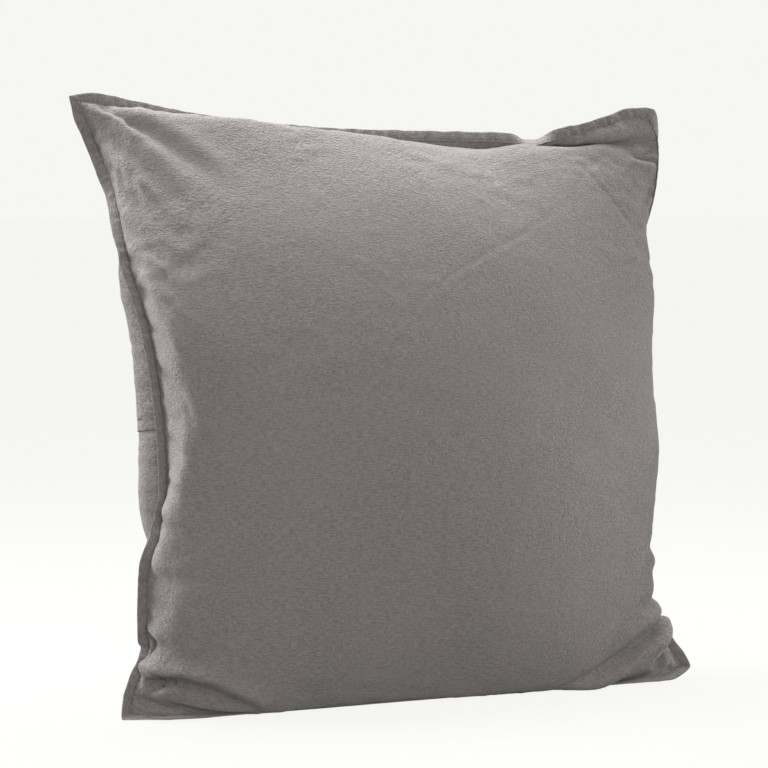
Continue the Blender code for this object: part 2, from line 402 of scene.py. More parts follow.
@dataclass(frozen=True)
class SeamOutline:
    """The closed seam between the two panels, as it lies on the filled pillow."""

    sizes: CoverSizes

    def knots(self, side: Side) -> Sequence[Sequence[float]]:
        """The knots of one side.

        Args:
            side: The side.

        Returns:
            Rows of share, across, height, forward and roll.
        """
        return {
            Side.LEFT: LEFT_KNOTS,
            Side.RIGHT: RIGHT_KNOTS,
            Side.BOTTOM: BOTTOM_KNOTS,
            Side.TOP: TOP_KNOTS,
        }[side]

    def places(self, side: Side, shares: Points) -> Points:
        """Points of the seam along a side.

        Args:
            side: The side.
            shares: Shares of the edge, from -1 to 1.

        Returns:
            The places, shaped (count, 3).
        """
        across, height, forward, _ = curve_through(self.knots(side), shares).T
        depth = self.sizes.middle_plane(height) - forward
        return np.stack([across, depth, height], -1)

    def rolls(self, side: Side, shares: Points) -> Points:
        """How far the flange is rolled forward of the leaning plane along a side, in radians."""
        return np.radians(curve_through(self.knots(side), shares)[:, 3])

    def patch(self, count: int) -> Points:
        """A smooth sheet spanned by the four sides.

        Args:
            count: Points along each side.

        Returns:
            Points shaped (count, count, 3), the first index running across.
        """
        shares = np.linspace(-1.0, 1.0, count)
        left = self.places(Side.LEFT, shares)
        right = self.places(Side.RIGHT, shares)
        bottom = self.places(Side.BOTTOM, shares)
        top = self.places(Side.TOP, shares)
        s = ((shares + 1.0) / 2.0)[:, None, None]
        t = ((shares + 1.0) / 2.0)[None, :, None]
        sheet = (1 - s) * left[None] + s * right[None] + (1 - t) * bottom[:, None] + t * top[:, None]
        sheet -= (1 - s) * (1 - t) * left[0] + s * (1 - t) * right[0]
        sheet -= (1 - s) * t * left[-1] + s * t * right[-1]
        return sheet


# ---------------------------------------------------------------------------------------------------
# The filled shape


@dataclass
class FilledCover:
    """The cover swollen by its filling: two flat square panels, sewn along the outline, under pressure."""

    sizes: CoverSizes
    outline: SeamOutline
    cells: int = 72
    frames: int = 50
    pressure: float = 15.0
    filling_weight: float = 0.05
    vertex_mass: float = 2.0e-4
    stiffness: float = 15.0
    squeeze: float = 15.0
    shear: float = 5.0
    bending: float = 2.0
    floor_height: float = 0.0030
    start_swell: float = 0.03
    drawn_in_by: float = 0.45
    slack_corner: tuple[float, float] = (0.030, 0.140)
    ear_pressure: float = 0.04
    sink: float = 0.72
    sink_height: float = 0.150
    ground_softness: float = 0.006
    edge_height: float = 0.02

    def flat_cut(self, u: Points, v: Points) -> Points:
        """The flat square, standing on its lower edge in the leaning plane.

        Args:
            u: Shares across the square, from -1 to 1.
            v: Shares up the square, from -1 to 1.

        Returns:
            The places, with three coordinates each.
        """
        half = self.sizes.half
        height = self.floor_height + 0.004 + half * (v + 1.0) * math.cos(self.sizes.lean)
        return np.stack([half * u, self.sizes.middle_plane(height), height], -1)

    def build_mesh(self) -> tuple[bpy.types.Object, Points, Points]:
        """The two panels as one mesh, flat as cut, with the sewn outline as a second shape.

        Returns:
            The object, and the vertex numbers of the front and the back, shaped (count, count).
        """
        count = self.cells + 1
        flat_axis = np.linspace(-1.0, 1.0, count)
        u, v = np.meshgrid(flat_axis, flat_axis, indexing="ij")
        dome = np.sqrt(np.clip(1 - u**2, 0, None)) * np.sqrt(np.clip(1 - v**2, 0, None))
        patch = self.outline.patch(count)
        work = bmesh.new()
        for face in Face:
            made = bmesh.ops.create_grid(work, x_segments=self.cells, y_segments=self.cells, size=1.0)
            for vertex in made["verts"]:
                vertex.co.z = face.value * 0.1
        work.verts.ensure_lookup_table()
        numbers = {}
        for vertex in work.verts:
            column = round((vertex.co.x + 1.0) / 2.0 * self.cells)
            row = round((vertex.co.y + 1.0) / 2.0 * self.cells)
            numbers[vertex.co.z > 0.0, column, row] = vertex
        on_rim = (np.abs(u) > 1.0 - 1e-6) | (np.abs(v) > 1.0 - 1e-6)
        pairs = {}
        for column, row in zip(*np.nonzero(on_rim)):
            pairs[numbers[True, column, row]] = numbers[False, column, row]
        cut = self.flat_cut(u, v)
        for (is_back, column, row), vertex in numbers.items():
            swell = self.start_swell * dome[column, row] * (1.0 if is_back else -1.0)
            vertex.co = cut[column, row] + np.array([0.0, swell, 0.0])
        bmesh.ops.weld_verts(work, targetmap=pairs)
        work.verts.index_update()
        front = np.zeros((count, count), int)
        back = np.zeros((count, count), int)
        for (is_back, column, row), vertex in numbers.items():
            if vertex.is_valid:
                (back if is_back else front)[column, row] = vertex.index
        back[on_rim] = front[on_rim]
        bmesh.ops.recalc_face_normals(work, faces=list(work.faces))
        if work.calc_volume(signed=True) < 0.0:
            bmesh.ops.reverse_faces(work, faces=list(work.faces))
        shell = finish_mesh("cover_shell", work)
        shell.shape_key_add(name="Flat cut")
        sewn = shell.shape_key_add(name="Sewn outline")
        for numbers_of in (front, back):
            for column in range(count):
                for row in range(count):
                    sewn.data[int(numbers_of[column, row])].co = patch[column, row]
        return shell, front, back

    def add_groups(self, shell: bpy.types.Object, front: Points, back: Points) -> None:
        """Marks where the filling presses, and the seam that holds still.

        Args:
            shell: The two panels as one mesh.
            front: Vertex numbers of the front panel.
            back: Vertex numbers of the back panel.
        """
        count = self.cells + 1
        half = self.sizes.half
        axis = np.linspace(-half, half, count)
        u, v = np.meshgrid(axis, axis, indexing="ij")
        corner = np.hypot(half - np.abs(u), half - np.abs(v))
        weight = self.ear_pressure + (1.0 - self.ear_pressure) * smooth(*self.slack_corner, corner)
        press = shell.vertex_groups.new(name="press")
        for numbers_of in (front, back):
            for number, share in zip(numbers_of.ravel(), weight.ravel()):
                press.add([int(number)], float(share), "REPLACE")
        seam = shell.vertex_groups.new(name="seam")
        rim = (np.abs(u) > half - 1e-6) | (np.abs(v) > half - 1e-6)
        seam.add([int(number) for number in front[rim]], 1.0, "REPLACE")

    def set_cloth(self, shell: bpy.types.Object, frames: int) -> None:
        """Gives the shell its cloth settings, and draws the seam in while it fills.

        Args:
            shell: The two panels as one mesh.
            frames: How many steps of filling there are.
        """
        cloth = shell.modifiers.new("Cloth", "CLOTH")
        settings = cloth.settings
        settings.quality = 6
        settings.mass = self.vertex_mass
        settings.air_damping = 1.5
        settings.tension_stiffness = self.stiffness
        settings.compression_stiffness = self.squeeze
        settings.shear_stiffness = self.shear
        settings.bending_stiffness = self.bending
        settings.tension_damping = 5.0
        settings.compression_damping = 5.0
        settings.shear_damping = 5.0
        settings.bending_damping = 0.5
        settings.use_pressure = True
        settings.uniform_pressure_force = self.pressure
        settings.vertex_group_pressure = "press"
        settings.fluid_density = self.filling_weight
        settings.vertex_group_mass = "seam"
        settings.pin_stiffness = 1.0
        sewn = shell.data.shape_keys.key_blocks["Sewn outline"]
        for frame, share in ((1, 0.0), (round(self.drawn_in_by * frames), 1.0)):
            sewn.value = share
            sewn.keyframe_insert("value", frame=frame)
        cloth.collision_settings.use_collision = True
        cloth.collision_settings.distance_min = 0.001
        cloth.collision_settings.collision_quality = 2
        cloth.collision_settings.use_self_collision = False
        cloth.point_cache.frame_start = 1
        cloth.point_cache.frame_end = frames

    def add_ground(self) -> bpy.types.Object:
        """A flat surface for the cloth to rest on.

        Returns:
            The ground, which is only there during the simulation.
        """
        work = bmesh.new()
        bmesh.ops.create_grid(work, x_segments=2, y_segments=2, size=1.5)
        bmesh.ops.translate(work, verts=work.verts, vec=(0.0, 0.0, self.floor_height - 0.001))
        ground = finish_mesh("simulation_ground", work)
        ground.modifiers.new("Collision", "COLLISION")
        ground.collision.thickness_outer = 0.001
        ground.collision.cloth_friction = 5.0
        return ground

    def swell(self) -> tuple[Points, Points]:
        """Runs the simulation.

        Returns:
            The places of the front and the back panel, each shaped (count, count, 3).
        """
        shell, front, back = self.build_mesh()
        self.add_groups(shell, front, back)
        frames = self.frames
        self.set_cloth(shell, frames)
        ground = self.add_ground()
        scene = bpy.context.scene
        scene.frame_start = 1
        scene.frame_end = frames
        for frame in range(1, frames + 1):
            scene.frame_set(frame)
        graph = bpy.context.evaluated_depsgraph_get()
        result = shell.evaluated_get(graph).to_mesh()
        places = np.empty(len(result.vertices) * 3, np.float32)
        result.vertices.foreach_get("co", places)
        places = places.reshape(-1, 3).astype(float)
        for helper in (shell, ground):
            mesh = helper.data
            bpy.data.objects.remove(helper)
            bpy.data.meshes.remove(mesh)
        for action in list(bpy.data.actions):
            bpy.data.actions.remove(action)
        scene.frame_set(1)
        places = self.settled(places)
        LOG.info("filled cover: %s to %s", places.min(0).round(3), places.max(0).round(3))
        return places[front], places[back]

    def settled(self, places: Points) -> Points:
        """Sinks the lower part of the belly under its weight until it lies on the ground.

        Args:
            places: Places of the filled cover, shaped (count, 3).

        Returns:
            The sunken places.
        """
        height = places[:, 2]
        out = np.abs(places[:, 1] - self.sizes.middle_plane(height))
        sink = self.sink * out * np.exp(-((height / self.sink_height) ** 2))
        low = self.floor_height
        soft = self.ground_softness
        lowered = height - sink - low
        rounded = 0.5 * (lowered + np.sqrt(lowered**2 + soft**2))
        sunk = low + rounded - 0.5 * soft * np.exp(-height / self.edge_height)
        places = places.copy()
        places[:, 2] = np.where(height > 2.0 * self.sink_height, height, np.maximum(sunk, low))
        return places


@dataclass(frozen=True)
class SideBulge:
    """Filling that rolls the cloth out past a sewn side, or leaves it slack there.

    Attributes:
        side: The side.
        amount: How far the cloth goes out; below zero it draws in.
        reach: Distance from the seam, on the flat cloth, of the fullest place.
        span: The places along the side, as shares of it, between which it acts.
    """

    side: Side
    amount: float
    reach: float
    span: tuple[float, float, float, float]

    def applied(self, points: Points, half: float) -> Points:
        """A panel with this bulge added.

        Args:
            points: Control points of the panel, shaped (count, count, 3).
            half: Half the width of the flat cloth.

        Returns:
            The new control points.
        """
        shares = np.linspace(-1.0, 1.0, points.shape[0])
        sign = -1.0 if self.side in (Side.LEFT, Side.BOTTOM) else 1.0
        run = half * (1.0 - sign * shares) / self.reach
        profile = run * np.exp(1.0 - run)
        low, low_full, high_full, high = self.span
        rise = smooth(low, low_full, shares) * (1.0 - smooth(high_full, high, shares))
        points = points.copy()
        if self.side in (Side.LEFT, Side.RIGHT):
            points[..., 0] += sign * self.amount * profile[:, None] * rise[None, :]
        else:
            points[..., 2] += sign * self.amount * rise[:, None] * profile[None, :]
        return points


@dataclass(frozen=True)
class Calming:
    """Evens out the chance dents of the filled cloth well away from its seams.

    Attributes:
        start: Distance from the seams where it begins.
        full: Distance from the seams where it acts in full.
        rounds: How many times each point is averaged with its neighbours.
    """

    start: float
    full: float
    rounds: int

    def applied(self, points: Points, half: float) -> Points:
        """A panel with its middle evened out.

        Args:
            points: Control points of the panel, shaped (count, count, 3).
            half: Half the width of the flat cloth.

        Returns:
            The new control points.
        """
        axis = np.linspace(-half, half, points.shape[0])
        from_seam = half - np.maximum(np.abs(axis)[:, None], np.abs(axis)[None, :])
        share = smooth(self.start, self.full, from_seam)[..., None]
        for _ in range(self.rounds):
            around = points.copy()
            around[1:-1, 1:-1] = (
                points[:-2, 1:-1] + points[2:, 1:-1] + points[1:-1, :-2] + points[1:-1, 2:]
            ) / 4.0
            points = points * (1.0 - share) + around * share
        return points


@dataclass(frozen=True)
class Easing:
    """Smooths out the gathers beside one sewn side, away from the corners.

    Attributes:
        side: The side.
        reach: Distance from the seam, on the flat cloth, over which it acts.
        corner: Distance from the corners that stays as it is.
        rounds: How many times each point is averaged with its neighbours along the seam.
        strength: How much of each averaging is kept.
    """

    side: Side
    reach: float
    corner: float
    rounds: int
    strength: float = 1.0

    def applied(self, points: Points, half: float) -> Points:
        """A panel with this easing done.

        Args:
            points: Control points of the panel, shaped (count, count, 3).
            half: Half the width of the flat cloth.

        Returns:
            The new control points.
        """
        across = self.side in (Side.LEFT, Side.RIGHT)
        grid = np.swapaxes(points, 0, 1) if across else points
        axis = np.linspace(-half, half, grid.shape[0])
        from_seam = axis + half if self.side in (Side.LEFT, Side.BOTTOM) else half - axis
        along = smooth(self.corner * 0.4, self.corner, half - np.abs(axis))[:, None]
        near = (1.0 - smooth(self.reach * 0.5, self.reach, from_seam))[None, :]
        share = (along * near)[..., None] * self.strength
        share[:, from_seam < 1e-9] = 0.0
        for _ in range(self.rounds):
            around = grid.copy()
            around[1:-1] = (grid[:-2] + 2.0 * grid[1:-1] + grid[2:]) / 4.0
            grid = grid * (1.0 - share) + around * share
        return np.swapaxes(grid, 0, 1) if across else grid


# ---------------------------------------------------------------------------------------------------
# Surfaces of the panels, with their folds


@dataclass(frozen=True)
class Crease:
    """A fold or crease that runs along a path on the flat cloth.

    Attributes:
        path: Corners of the path, in metres on the flat cloth.
        depth: How deep its hollow is.
        width: How wide its hollow is.
        ridge: Height of the ridge on the left of the path.
        fade: Share of the path over which it dies away at each end.
    """

    path: tuple[tuple[float, float], ...]
    depth: float
    width: float
    ridge: float = 0.0
    fade: tuple[float, float] = (0.3, 0.3)

    def lift(self, u: Points, v: Points) -> Points:
        """How far the cloth moves outwards.

        Args:
            u: Places across the flat cloth.
            v: Places up the flat cloth.

        Returns:
            The outward movement at each place.
        """
        gap, along = distance_to_path(self.path, u, v)
        strength = smooth(0.0, max(self.fade[0], 1e-3), along)
        strength = strength * smooth(0.0, max(self.fade[1], 1e-3), 1.0 - along)
        hollow = -self.depth * np.exp(-((gap / self.width) ** 2))
        crest = self.ridge * np.exp(-(((gap - 1.9 * self.width) / (1.3 * self.width)) ** 2))
        return (hollow + crest) * strength


@dataclass
class PanelSurface:
    """One face of the filled cover, as a smooth surface that can be read anywhere on its flat cut."""

    face: Face
    sizes: CoverSizes
    control: Points
    creases: tuple[Crease, ...] = ()
    seed: int = 1
    crinkle: float = 0.00040
    pucker: float = 0.0013
    pucker_reach: float = 0.011
    stitch_hold: float = 0.0016
    swell: float = 0.0009

    def axis_shares(self, places: Points) -> Points:
        """Places on the flat cloth as shares from 0 to 1."""
        return (places + self.sizes.half) / (2.0 * self.sizes.half)

    def read(self, across: Points, up: Points) -> Points:
        """The control points weighted across and up, shaped (places across, places up, 3)."""
        rows = np.tensordot(across, self.control, axes=(1, 0))
        return np.moveaxis(np.tensordot(up, rows, axes=(1, 1)), 0, 1)

    def base(self, u: Points, v: Points) -> tuple[Points, Points]:
        """The plain swollen surface on a grid.

        Args:
            u: Places across the flat cloth.
            v: Places up the flat cloth.

        Returns:
            Places in space and outward normals, each shaped (len(u), len(v), 3).
        """
        count = self.control.shape[0]
        across = cubic_weights(count, self.axis_shares(u))
        up = cubic_weights(count, self.axis_shares(v))
        step = 1e-3
        across_next = cubic_weights(count, self.axis_shares(u) + step) - cubic_weights(
            count, self.axis_shares(u) - step
        )
        up_next = cubic_weights(count, self.axis_shares(v) + step) - cubic_weights(
            count, self.axis_shares(v) - step
        )
        places = self.read(across, up)
        along_u = self.read(across_next, up)
        along_v = self.read(across, up_next)
        normals = unit(np.cross(along_u, along_v)) * -self.face.value
        return places, normals

    def puckers(self, u: Points, v: Points) -> Points:
        """Short gathers that run into the cloth from the stitching.

        Args:
            u: Places across the flat cloth.
            v: Places up the flat cloth.

        Returns:
            The outward movement, shaped (len(u), len(v)).
        """
        half = self.sizes.half
        total = np.zeros((len(u), len(v)))
        beside_upright_seams = (v[None, :], (u + half)[:, None], (half - u)[:, None])
        beside_level_seams = (u[:, None], (v + half)[None, :], (half - v)[None, :])
        for index, (along, gap_low, gap_high) in enumerate((beside_upright_seams, beside_level_seams)):
            for edge, gap in enumerate((gap_low, gap_high)):
                wave = pucker_wave(self.seed + 7 * index + 3 * edge, along / half)
                unevenness = pucker_wave(self.seed + 31 + index, along / half * 0.3)
                reach = self.pucker_reach * (1.0 + 0.5 * unevenness)
                strength = np.exp(-gap / reach) * (1.0 - np.exp(-(gap + 0.0006) / self.stitch_hold))
                total = total + wave * strength
        return self.pucker * total

    def wash(self, u: Points, v: Points) -> Points:
        """The fine crinkle that washing leaves.

        Args:
            u: Places across the flat cloth.
            v: Places up the flat cloth.

        Returns:
            The outward movement, shaped (len(u), len(v)).
        """
        su = self.axis_shares(u)
        sv = self.axis_shares(v)
        fine = 0.55 * rumple(self.seed + 1, (46, 96), su, sv)
        fine = fine + 0.8 * rumple(self.seed + 2, (30, 60), su, sv)
        broad = rumple(self.seed + 3, (9, 11), su, sv)
        patchy = 0.6 + 0.4 * np.tanh(1.5 * broad)
        edge = np.maximum(np.abs(2.0 * su - 1.0)[:, None], np.abs(2.0 * sv - 1.0)[None, :])
        patchy = patchy * (0.55 + 0.9 * smooth(0.55, 0.95, edge))
        return self.crinkle * (fine * patchy) + self.swell * rumple(self.seed + 4, (7, 8), su, sv)

    def detailed(self, u: Points, v: Points) -> tuple[Points, Points]:
        """The surface with its folds, gathers and crinkle.

        Args:
            u: Places across the flat cloth.
            v: Places up the flat cloth.

        Returns:
            Places in space and outward normals of the plain surface.
        """
        places, normals = self.base(u, v)
        grid_u, grid_v = np.meshgrid(u, v, indexing="ij")
        half = self.sizes.half
        from_seam = np.minimum(half - np.abs(grid_u), half - np.abs(grid_v))
        held = smooth(0.0, 0.012, from_seam)
        lift = self.wash(u, v) * held + self.puckers(u, v)
        for crease in self.creases:
            lift = lift + crease.lift(grid_u, grid_v) * smooth(0.0, 0.006, from_seam)
        places = places + normals * lift[..., None]
        return places, normals


def pucker_wave(seed: int, shares: Points) -> Points:
    """An uneven wave along an edge of the cover.

    Args:
        seed: Fixes the pattern.
        shares: Places along the edge, from -1 to 1.

    Returns:
        The height of the wave at each place, of about unit size.
    """
    random = np.random.default_rng(seed)
    total = np.zeros(np.shape(shares))
    for waves in (19, 27, 38, 55):
        phase = random.uniform(0.0, 2.0 * math.pi)
        drift = random.uniform(0.3, 1.2)
        turn = waves * math.pi * shares + phase + 2.2 * np.sin(drift * 7.0 * shares + phase)
        total = total + np.sin(turn) / (1.0 + 0.02 * waves)
    return total / 2.0


def seam_graded_axis(half: float, count: int, low: float | None = None, high: float | None = None) -> Points:
    """Places across the flat cloth, closer together near the seams.

    Args:
        half: Half the width of the flat cloth.
        count: How many places.
        low: The first place, or the seam itself.
        high: The last place, or the seam itself.

    Returns:
        The places, in order.
    """
    low = -half if low is None else low
    high = half if high is None else high
    shares = np.linspace(-1.0, 1.0, 4001)
    full = half * (0.72 * shares + 0.28 * np.sin(shares * math.pi / 2.0))
    density = 1.0 / np.gradient(full)
    density = density / density.max()
    places = np.linspace(low, high, 4001)
    weight = np.interp(places, full, density)
    total = np.concatenate([[0.0], np.cumsum((weight[1:] + weight[:-1]) / 2.0)])
    return np.interp(np.linspace(0.0, total[-1], count), total, places)


# ---------------------------------------------------------------------------------------------------
# Node helpers and shared effects


class Graph:
    """A node tree with short calls for adding and joining nodes."""

    def __init__(self, tree: bpy.types.NodeTree) -> None:
        """Keeps the tree."""
        self.tree = tree

    def add(self, kind: str, **settings: object) -> bpy.types.Node:
        """A new node.

        Args:
            kind: Its type.
            settings: Settings of the node, by name.

        Returns:
            The node.
        """
        node = self.tree.nodes.new(kind)
        for name, value in settings.items():
            setattr(node, name, value)
        return node

    def link(self, source: Socket, target: Socket) -> None:
        """Joins two sockets."""
        self.tree.links.new(source, target)

    def feed(self, target: Socket, value: Socket | float | Sequence[float]) -> None:
        """Joins a socket, or sets a plain value on the target.

        Args:
            target: The socket that takes the value.
            value: A socket or a plain value.
        """
        if isinstance(value, bpy.types.NodeSocket):
            self.link(value, target)
        else:
            target.default_value = value

    def math(self, operation: str, *values: Socket | float) -> Socket:
        """The result of a Math node.

        Args:
            operation: What the node does.
            values: Sockets or numbers for its inputs.

        Returns:
            The result.
        """
        node = self.add("ShaderNodeMath", operation=operation)
        for target, value in zip(node.inputs, values):
            self.feed(target, value)
        return node.outputs[0]

    def mix(self, share: Socket | float, a: Socket | Color, b: Socket | Color) -> Socket:
        """A mixture of two colours.

        Args:
            share: How much of the second colour there is.
            a: The first colour.
            b: The second colour.

        Returns:
            The mixed colour.
        """
        node = self.add("ShaderNodeMix", data_type="RGBA")
        self.feed(node.inputs["Factor"], share)
        self.feed(node.inputs[6], a)
        self.feed(node.inputs[7], b)
        return node.outputs[2]

    def noise(self, where: Socket, scale: float, detail: float = 2.0, roughness: float = 0.5) -> Socket:
        """The value of a Noise Texture.

        Args:
            where: The places to read.
            scale: How fine the pattern is.
            detail: How many finer layers it has.
            roughness: How strong the finer layers are.

        Returns:
            The value.
        """
        node = self.add("ShaderNodeTexNoise")
        self.link(where, node.inputs["Vector"])
        node.inputs["Scale"].default_value = scale
        node.inputs["Detail"].default_value = detail
        node.inputs["Roughness"].default_value = roughness
        return node.outputs["Fac"]

    def stretched(self, where: Socket, scale: Sequence[float], turn: float = 0.0) -> Socket:
        """A vector scaled and turned.

        Args:
            where: The vector.
            scale: Its scale along each axis.
            turn: Its turn about Z, in radians.

        Returns:
            The new vector.
        """
        node = self.add("ShaderNodeMapping")
        self.link(where, node.inputs["Vector"])
        node.inputs["Scale"].default_value = scale
        node.inputs["Rotation"].default_value = (0.0, 0.0, turn)
        return node.outputs["Vector"]

    def ranged(
        self, value: Socket, low: float, high: float, to_low: float = 0.0, to_high: float = 1.0
    ) -> Socket:
        """A value taken from one range to another, smoothly.

        Args:
            value: The value.
            low: Where the first range starts.
            high: Where the first range ends.
            to_low: Where the second range starts.
            to_high: Where the second range ends.

        Returns:
            The new value.
        """
        node = self.add("ShaderNodeMapRange", interpolation_type="SMOOTHSTEP")
        self.link(value, node.inputs["Value"])
        node.inputs["From Min"].default_value = low
        node.inputs["From Max"].default_value = high
        node.inputs["To Min"].default_value = to_low
        node.inputs["To Max"].default_value = to_high
        return node.outputs["Result"]


def new_group(
    name: str, inputs: Iterable[tuple[str, str, object]], outputs: Iterable[tuple[str, str]]
) -> tuple[bpy.types.NodeTree, Graph, bpy.types.Node, bpy.types.Node]:
    """An empty shader node group.

    Args:
        name: What the effect is called.
        inputs: Name, socket type and starting value of each input.
        outputs: Name and socket type of each output.

    Returns:
        The tree, a Graph on it, its input node and its output node.
    """
    tree = bpy.data.node_groups.new(name, "ShaderNodeTree")
    for label, kind, value in inputs:
        socket = tree.interface.new_socket(name=label, in_out="INPUT", socket_type=kind)
        if value is not None:
            socket.default_value = value
    for label, kind in outputs:
        tree.interface.new_socket(name=label, in_out="OUTPUT", socket_type=kind)
    graph = Graph(tree)
    return tree, graph, graph.add("NodeGroupInput"), graph.add("NodeGroupOutput")


def plain_weave_group() -> bpy.types.NodeTree:
    """Plain weave: threads over and under each other, with thicker slubs here and there.

    Returns:
        The node group, which puts out a height, a shade of the threads and a mask of the slubs.
    """
    tree, g, start, end = new_group(
        "Plain weave",
        (("Vector", "NodeSocketVector", None), ("Threads per metre", "NodeSocketFloat", 1500.0)),
        (("Height", "NodeSocketFloat"), ("Thread shade", "NodeSocketFloat"), ("Slubs", "NodeSocketFloat")),
    )
    where = start.outputs["Vector"]
    wobble = g.noise(where, 60.0, 2.0)
    split = g.add("ShaderNodeSeparateXYZ")
    g.link(where, split.inputs[0])
    shaken = g.math("MULTIPLY", g.math("SUBTRACT", wobble, 0.5), 0.0022)
    turn = g.math("MULTIPLY", start.outputs["Threads per metre"], math.pi)
    warp = g.math("SINE", g.math("MULTIPLY", g.math("ADD", split.outputs[0], shaken), turn))
    weft = g.math("SINE", g.math("MULTIPLY", g.math("ADD", split.outputs[1], shaken), turn))
    over = g.math("MULTIPLY", warp, weft)
    weft_slub = g.noise(g.stretched(where, (0.16, 1.0, 1.0)), 900.0, 1.0)
    warp_slub = g.noise(g.stretched(where, (1.0, 0.22, 1.0)), 820.0, 1.0)
    thick_warp = g.math("MULTIPLY", g.ranged(warp_slub, 0.60, 0.82), 0.5)
    slubs = g.math("ADD", g.ranged(weft_slub, 0.56, 0.80), thick_warp)
    fibre = g.noise(where, 1500.0, 2.0, 0.6)
    height = g.math("ADD", g.math("MULTIPLY", over, 0.25), g.math("MULTIPLY", slubs, 0.9))
    g.link(g.math("ADD", height, g.math("MULTIPLY", fibre, 0.8)), end.inputs["Height"])
    shade = g.math("ADD", g.math("MULTIPLY", weft_slub, 0.5), g.math("MULTIPLY", warp_slub, 0.3))
    g.link(g.math("ADD", shade, g.math("MULTIPLY", fibre, 0.2)), end.inputs["Thread shade"])
    g.link(slubs, end.inputs["Slubs"])
    return tree


def garment_wash_group() -> bpy.types.NodeTree:
    """Garment wash: fine grains and broken crease lines, and dye that is paler where the cloth rubbed.

    Returns:
        The node group, which puts out a height, a mask of the faded places and broad clouds.
    """
    tree, g, start, end = new_group(
        "Garment wash",
        (("Vector", "NodeSocketVector", None),),
        (("Height", "NodeSocketFloat"), ("Fading", "NodeSocketFloat"), ("Clouds", "NodeSocketFloat")),
    )
    where = start.outputs["Vector"]
    bent = g.add("ShaderNodeVectorMath", operation="ADD")
    warp = g.add("ShaderNodeTexNoise")
    g.link(where, warp.inputs["Vector"])
    warp.inputs["Scale"].default_value = 14.0
    warp.inputs["Detail"].default_value = 2.0
    scaled = g.add("ShaderNodeVectorMath", operation="SCALE")
    g.link(warp.outputs["Color"], scaled.inputs[0])
    scaled.inputs["Scale"].default_value = 0.03
    g.link(where, bent.inputs[0])
    g.link(scaled.outputs[0], bent.inputs[1])
    place = bent.outputs[0]
    grains = g.noise(g.stretched(place, (0.6, 1.0, 1.0)), 640.0, 1.0, 0.5)
    soft = g.noise(g.stretched(place, (0.8, 1.0, 1.0), 0.4), 120.0, 2.0, 0.5)
    breaks = g.add("ShaderNodeTexVoronoi", feature="DISTANCE_TO_EDGE")
    g.link(g.stretched(place, (0.8, 1.0, 1.0), 0.6), breaks.inputs["Vector"])
    breaks.inputs["Scale"].default_value = 42.0
    lines = g.ranged(breaks.outputs["Distance"], 0.0, 0.16, 1.0, 0.0)
    patches = g.ranged(g.noise(where, 9.0, 2.0), 0.40, 0.64, 0.55, 1.0)
    lined = g.math("MULTIPLY", lines, g.ranged(g.noise(where, 13.0, 2.0), 0.50, 0.66, 0.0, 1.0))
    apart = g.add("ShaderNodeSeparateXYZ")
    g.link(where, apart.inputs[0])
    edge = g.math("MAXIMUM", g.math("ABSOLUTE", apart.outputs[0]), g.math("ABSOLUTE", apart.outputs[1]))
    crumple = g.noise(place, 210.0, 3.0, 0.6)
    from_middle = g.math("MULTIPLY", g.math("SUBTRACT", crumple, 0.5), 7.0)
    ridges = g.math("SUBTRACT", 1.0, g.math("ABSOLUTE", from_middle))
    near = g.ranged(edge, 0.15, 0.29, 0.25, 1.0)
    crumpled = g.math("MULTIPLY", g.math("MAXIMUM", ridges, 0.0), near)
    rough = g.math("ADD", g.math("MULTIPLY", grains, 1.2), g.math("MULTIPLY", soft, 0.5))
    rough = g.math("ADD", rough, g.math("MULTIPLY", crumpled, 0.45))
    height = g.math("ADD", g.math("MULTIPLY", rough, patches), g.math("MULTIPLY", lined, 0.20))
    g.link(height, end.inputs["Height"])
    worn = g.math("ADD", g.math("MULTIPLY", lined, 0.3), g.ranged(grains, 0.42, 0.66, 0.0, 1.0))
    g.link(g.math("MULTIPLY", worn, patches), end.inputs["Fading"])
    g.link(g.noise(where, 5.0, 3.0), end.inputs["Clouds"])
    return tree


